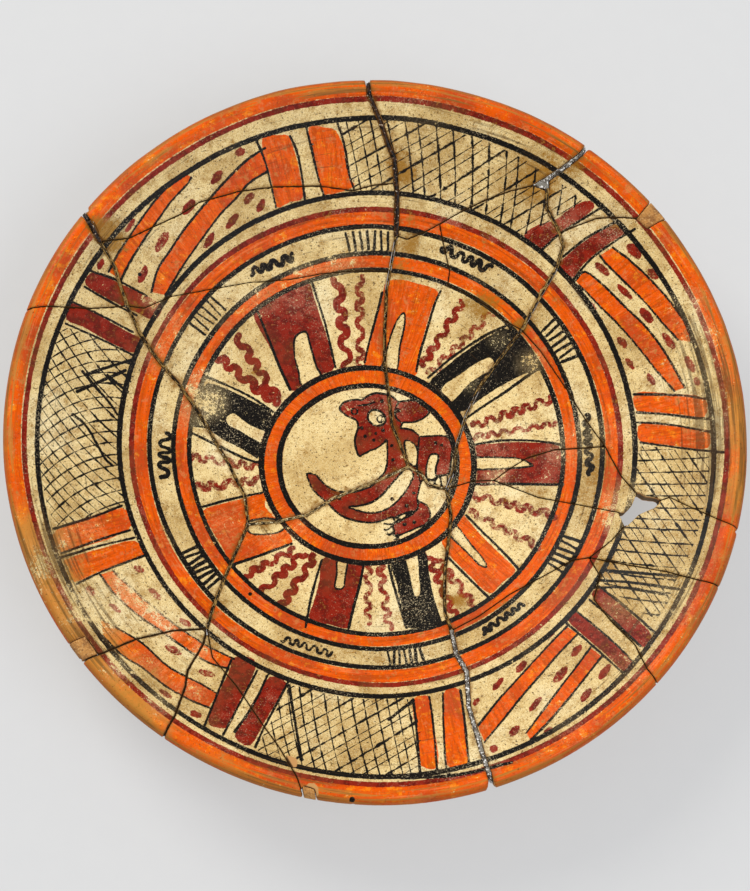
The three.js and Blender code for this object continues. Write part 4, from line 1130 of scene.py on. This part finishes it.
def slipPaintMaterial():
    material, tree, shader = newMaterial("painted_slip_on_fired_clay")
    add = partial(addNode, tree)
    at = slipMasks(tree)
    tone = {name: linear(code) for name, code in slipPaint.items()}

    def coated(name, colour):
        return layCoats(tree, colour, [(at[where], low, high, most, tone[paint])
                                       for where, low, high, most, paint in slipCoats[name]])

    def painted(colour, depth, paint):
        # Lays a paint over the colour inside its strokes, as far as wear has left it
        edge = add("Math", [at[depth], at["waver"]], operation="ADD")
        edge = add("MapRange", {0: edge, 1: -0.12, 2: 0.12}, interpolation_type="SMOOTHSTEP")
        share = add("Math", [edge, at["kept"]], operation="MULTIPLY")
        return add("Mix", {0: share, 6: colour, 7: paint}, 2, data_type="RGBA")

    cream, orange, maroon, black, buff, clay = (
        coated(name, tone[name]) for name in ("cream", "orange", "maroon", "black", "buff", "clay"))
    colour = painted(painted(cream, "orange", orange), "maroon", maroon)
    colour = painted(coated("toned", colour), "blackAndLines", black)
    colour = coated("soiled", colour)
    underside = painted(buff, "orange", orange)
    colour = layCoats(tree, underside, [(at["side"], 0.46, 0.5, 1, colour)])
    colour = add("Mix", {0: at["bare"], 6: colour, 7: clay}, 2, data_type="RGBA")
    tree.links.new(colour, shader.inputs["Base Color"])

    # Burnished slip is half shiny, and duller where it is worn, cracked or raw
    dull = add("Math", [at["worn"], 0.5, at["bare"]], operation="MULTIPLY_ADD")
    sheen = add("Math", [at["mottle"], 0.4, 0.14], operation="MULTIPLY_ADD")
    tree.links.new(add("Math", [dull, 0.3, sheen], operation="MULTIPLY_ADD"), shader.inputs["Roughness"])
    shader.inputs["Specular IOR Level"].default_value = 0.07
    height = add("Math", [at["tooth"], 0.6, at["grain"]], operation="MULTIPLY_ADD")
    height = add("Math", [at["streak"], 0.4, height], operation="MULTIPLY_ADD")
    bump = add("Bump", {"Strength": 0.6, "Distance": 0.16 * mm, "Height": height})
    tree.links.new(bump, shader.inputs["Normal"])
    return material


# The adhesive on each join: its crack, how wide the bead is and how far it stands up in mm, and its finish
beads = {
    "adhesive_top_rim": ("topRim", 1.9, 0.5, "amber"),
    # The silvery beads are clear adhesive whose pale colour is painted reflection
    "adhesive_bottom_rim": ("bottomRim", 1.9, 0.55, "silveryPaintedSheen"),
    "adhesive_left_rim": ("leftRim", 2.6, 0.6, "amber"),
    "adhesive_upper_right_rim": ("upperRightRim", 1.7, 0.45, "silveryPaintedSheen"),
    "adhesive_top_inner": ("topInner", 0.6, 0.1, "seam"),
    "adhesive_bottom_inner": ("bottomInner", 0.7, 0.15, "seam"),
    "adhesive_right_inner": ("rightInner", 0.8, 0.18, "seam"),
    "adhesive_right_middle": ("rightMiddle", 1.1, 0.3, "seam"),
    "adhesive_centre_left": ("centreLeft", 0.9, 0.2, "chalky"),
    "adhesive_centre_right": ("centreRight", 0.8, 0.2, "chalky"),
    "adhesive_left_inner": ("leftInner", 0.7, 0.12, "seam"),
    "adhesive_left_shoulder": ("leftShoulder", 1.1, 0.25, "seam"),
    "adhesive_lower_left": ("lowerLeftInner", 0.8, 0.15, "seam"),
}

# The cord that a bead starts as, in mm: its step along the crack, how far it strays and runs past the inside's edge,
# how far below the surface it is cut off, and how much it swells and thins
cordForm = {"step": 1.2, "stray": 0.2, "past": 1.5, "cutAt": 0.9, "swell": (0.35, 1.3)}


def evenSteps(path, step):
    length = np.append(0, np.cumsum(np.hypot(*np.diff(path, axis=0).T)))
    s = np.linspace(0, length[-1], max(2, int(length[-1] / step)))
    return np.stack([np.interp(s, length, path[:, 0]), np.interp(s, length, path[:, 1])], axis=1)


def layBead(name, path, width, height, order):
    # A round cord of adhesive, sunk so far that a cap of the width and height asked for shows
    rng = np.random.default_rng(seeds["beads"] + order)
    path = evenSteps(path, cordForm["step"])
    path = path[np.hypot(*path.T) < insideEnd + cordForm["past"]]
    count = len(path)
    knots = max(3, count // 3)
    swell = np.interp(np.arange(count), np.linspace(0, count - 1, knots), rng.uniform(*cordForm["swell"], knots))
    path = path + rng.normal(0, cordForm["stray"], path.shape)
    ball = ((width / 2) ** 2 + height ** 2) / (2 * height)
    curve = bpy.data.curves.new(name, "CURVE")
    curve.dimensions = "3D"
    curve.bevel_depth = mm
    curve.bevel_resolution = 3
    curve.use_fill_caps = True
    spline = curve.splines.new("POLY")
    spline.points.add(count - 1)
    level = insideHeight(np.hypot(*path.T)) - ball + height * swell
    for point, (px, py), pz, grown in zip(spline.points, path, level, swell):
        point.co = (px * mm, py * mm, pz * mm, 1)
        point.radius = ball * (0.75 + 0.25 * grown)
    cord = bpy.data.objects.new(name, curve)
    scene.collection.objects.link(cord)
    cord.select_set(True)
    bpy.context.view_layer.objects.active = cord
    bpy.ops.object.convert(target="MESH")
    return bpy.context.object


def dressBead(node, order, materials):
    crack, width, height, finish = beads[node]
    path = crackPath(crack)
    top = layBead("bead_" + node, path, width, height, order)
    places = getPlaces(top.data)
    x, y, z = places.T
    places[:, 2] = np.maximum(z, insideHeight(np.hypot(x, y)) - cordForm["cutAt"])
    setPlaces(top.data, places)
    top.select_set(False)
    film = ownCopy("set_" + node, node)
    top.select_set(True)
    film.select_set(True)
    bpy.context.view_layer.objects.active = film
    bpy.ops.object.join()
    piece = bpy.context.object
    remakeFinely(piece, voxel=0.28, factor=0.5, passes=3)
    places = getPlaces(piece.data)
    x, y, _ = places.T
    places[:, 2] += unevenRise(x, y, rough=0.06)
    setPlaces(piece.data, places)
    gaps, _ = gapsToPath(x, y, path)
    setValues(piece.data, "off", gaps.min(axis=1))
    finishPiece(piece, materials[finish], node)
    return len(piece.data.polygons)


# Old hide glue and resin, run in brown and set hard: a wet gleam with dark depths, trapped dirt, and bright specks of
# painted highlight
adhesiveLooks = {
    "amber": {"base": "#2A1606", "depths": "#0C0603", "glow": "#6E4212", "paintedGlint": "#D8D0BC", "paintedGlintFrom": 0.64,
              "edge": "#5E3C12", "core": 0.8, "rough": 0.3, "gloss": 0.2},
    # Painted reflection: this finish colours clear adhesive pale grey and white for the light it catches
    "silveryPaintedSheen": {"base": "#7A766C", "depths": "#3C342A", "glow": "#A8A59C", "paintedGlint": "#F4F4F0", "paintedGlintFrom": 0.58,
                "edge": "#3A2C1C", "core": 0.8, "rough": 0.2, "gloss": 0.5},
    "seam": {"base": "#2E1C0C", "depths": "#100A05", "glow": "#5E4422", "paintedGlint": "#C9BC98", "paintedGlintFrom": 0.64,
             "edge": "#94763E", "core": 0.26, "rough": 0.45, "gloss": 0.15},
    "chalky": {"base": "#4A3820", "depths": "#1C130A", "glow": "#8A744A", "paintedGlint": "#DCCFA8", "paintedGlintFrom": 0.6,
               "edge": "#AE9460", "core": 0.24, "rough": 0.5, "gloss": 0.1},
}


def adhesiveMaterial(name):
    look = adhesiveLooks[name]
    material, tree, shader = newMaterial(name + "_set_adhesive")
    add = partial(addNode, tree)
    place = add("TexCoord", out=3)
    lump = add("TexNoise", {"Vector": place, "Scale": 1 / (2.6 * mm), "Detail": 4.0})
    fleck = add("TexNoise", {"Vector": place, "Scale": 1 / (0.9 * mm), "Detail": 3.0, "Roughness": 0.6})
    # How far from the middle of the crack, in mm: thin at its edges, the adhesive lets the clay show
    off = add("Math", [fleck, -1.2, add("Attribute", out=2, attribute_name="off")], operation="MULTIPLY_ADD")
    off = add("Math", [lump, -1.2, add("Math", [off, 1.2], operation="ADD")], operation="MULTIPLY_ADD")
    # Painted highlights: the last coat lays pale specks where the fine noise peaks
    colour = layCoats(tree, linear(look["base"]), [
        (lump, 0.44, 0.56, 1, linear(look["depths"])), (fleck, 0.54, 0.66, 0.8, linear(look["glow"])),
        (off, look["core"] - 0.1, look["core"] + 0.15, 1, linear(look["edge"])),
        (fleck, look["paintedGlintFrom"], look["paintedGlintFrom"] + 0.05, 1, linear(look["paintedGlint"]))])
    tree.links.new(colour, shader.inputs["Base Color"])
    rough = add("MapRange", {0: fleck, 1: 0.3, 2: 0.7, 3: look["rough"] * 0.6, 4: look["rough"] * 1.8})
    tree.links.new(rough, shader.inputs["Roughness"])
    shader.inputs["IOR"].default_value = 1.5
    shader.inputs["Specular IOR Level"].default_value = look["gloss"]
    bump = add("Bump", {"Strength": 0.9, "Distance": 0.3 * mm, "Height": fleck})
    tree.links.new(bump, shader.inputs["Normal"])
    return material


plasterLooks = {"base": "#B27C3C", "depths": "#8A5A28", "pale": "#CFA66A", "pits": "#5E4022", "rough": 0.85}


def plasterMaterial():
    # Tinted plaster: dead matt, toned with a brush to the ochre of the worn rim
    tone = {name: linear(plasterLooks[name]) for name in ("base", "depths", "pale", "pits")}
    material, tree, shader = newMaterial("tinted_plaster_fill")
    add = partial(addNode, tree)
    place = add("TexCoord", out=3)
    cloud = add("TexNoise", {"Vector": place, "Scale": 1 / (4 * mm), "Detail": 5.0, "Roughness": 0.6})
    grain = add("TexNoise", {"Vector": place, "Scale": 1 / (0.7 * mm), "Detail": 3.0})
    colour = layCoats(tree, tone["base"], [
        (cloud, 0.42, 0.6, 1, tone["depths"]), (grain, 0.56, 0.66, 0.6, tone["pale"]),
        (grain, 0.42, 0.32, 0.7, tone["pits"])])
    tree.links.new(colour, shader.inputs["Base Color"])
    shader.inputs["Roughness"].default_value = plasterLooks["rough"]
    bump = add("Bump", {"Strength": 0.6, "Distance": 0.2 * mm, "Height": grain})
    tree.links.new(bump, shader.inputs["Normal"])
    return material


def dressFill(node, material):
    piece = ownCopy("set_" + node, node)
    remakeFinely(piece, voxel=0.4, factor=0.5, passes=3)
    places, *_ = smoothForm(getPlaces(piece.data))
    x, y, _ = places.T
    places[:, 2] += unevenRise(x, y, rough=0.1)
    setPlaces(piece.data, places)
    finishPiece(piece, material, node)


# The stage in metres and watts: the floor with its own glow, the sky, and two soft round lamps aimed at the plate
studio = {
    "floor": {"size": 6, "colour": "#8C8D8E", "tooth": "#88898B", "glow": "#FBFBFA", "glowStrength": 0.42},
    "sky": {"colour": "#F4F5F7", "strength": 0.62},
    "lamps": {
        "soft_key": {"place": (-1.5, 1.7, 1.9), "size": 1.5, "power": 62, "colour": "#FFFAF2"},
        "soft_fill": {"place": (1.4, -1.0, 2.2), "size": 2.0, "power": 34, "colour": "#F4F7FF"},
    },
}


def makeStage():
    # The floor is a light table: its own faint glow keeps the shadow under the plate pale
    look = studio["floor"]
    bpy.ops.mesh.primitive_plane_add(size=look["size"], location=(0, 0, 0))
    floor = bpy.context.object
    floor.name = "pale_floor"
    material, tree, shader = newMaterial("pale_light_table")
    place = addNode(tree, "TexCoord", out=3)
    tooth = addNode(tree, "TexNoise", {"Vector": place, "Scale": 1 / (9 * mm), "Detail": 3.0})
    colour = layCoats(tree, linear(look["colour"]), [(tooth, 0.3, 0.7, 0.3, linear(look["tooth"]))])
    tree.links.new(colour, shader.inputs["Base Color"])
    shader.inputs["Roughness"].default_value = 0.9
    shader.inputs["Emission Color"].default_value = linear(look["glow"])
    shader.inputs["Emission Strength"].default_value = look["glowStrength"]
    floor.data.materials.append(material)
    floor.select_set(False)


def makeLight(name, place, size, power, colour):
    bpy.ops.object.light_add(type="AREA", location=place)
    light = bpy.context.object
    light.name = name
    light.data.shape = "DISK"
    light.data.size = size
    light.data.energy = power
    light.data.color = linear(colour)[:3]
    toward = -np.array(place, float)
    light.rotation_euler = (math.atan2(math.hypot(toward[0], toward[1]), -toward[2]), 0,
                            math.atan2(toward[0], -toward[1]) + math.pi)
    light.select_set(False)


def makeStudio():
    for name, lamp in studio["lamps"].items():
        makeLight(name, **lamp)
    world = bpy.data.worlds.new("pale_room")
    scene.world = world
    world.use_nodes = True
    background = world.node_tree.nodes["Background"]
    background.inputs["Color"].default_value = linear(studio["sky"]["colour"])
    background.inputs["Strength"].default_value = studio["sky"]["strength"]
    scene.view_settings.view_transform = "Standard"
    bpy.ops.object.camera_add(location=[v * mm for v in camera["place"]],
                              rotation=[math.radians(v) for v in camera["turned"]])
    scene.camera = bpy.context.object
    scene.camera.name = "picture_camera"
    scene.camera.data.lens = camera["lens"]
    scene.camera.data.sensor_width = camera["sensor"]
    scene.camera.data.sensor_fit = "HORIZONTAL"
    scene.camera.data.clip_end = 20


slipMaterial = slipPaintMaterial()
faces = sum(dressSherd(name, i, slipMaterial) for i, name in enumerate(sherds))
print("sherds:", faces, "faces")
adhesives = {look: adhesiveMaterial(look) for look in adhesiveLooks}
faces = sum(dressBead(node, i, adhesives) for i, node in enumerate(beads))
print("adhesive:", faces, "faces")
plaster = plasterMaterial()
for node in ("fill_right_rim", "fill_left_rim", "fill_bottom_rim"):
    dressFill(node, plaster)
# The plug is clear adhesive in the silvery finish, its pale colour painted reflection
dressFill("adhesive_chip_plug", adhesives["silveryPaintedSheen"])
print("fills and plug in place")
makeStage()
makeStudio()
print("stage set")
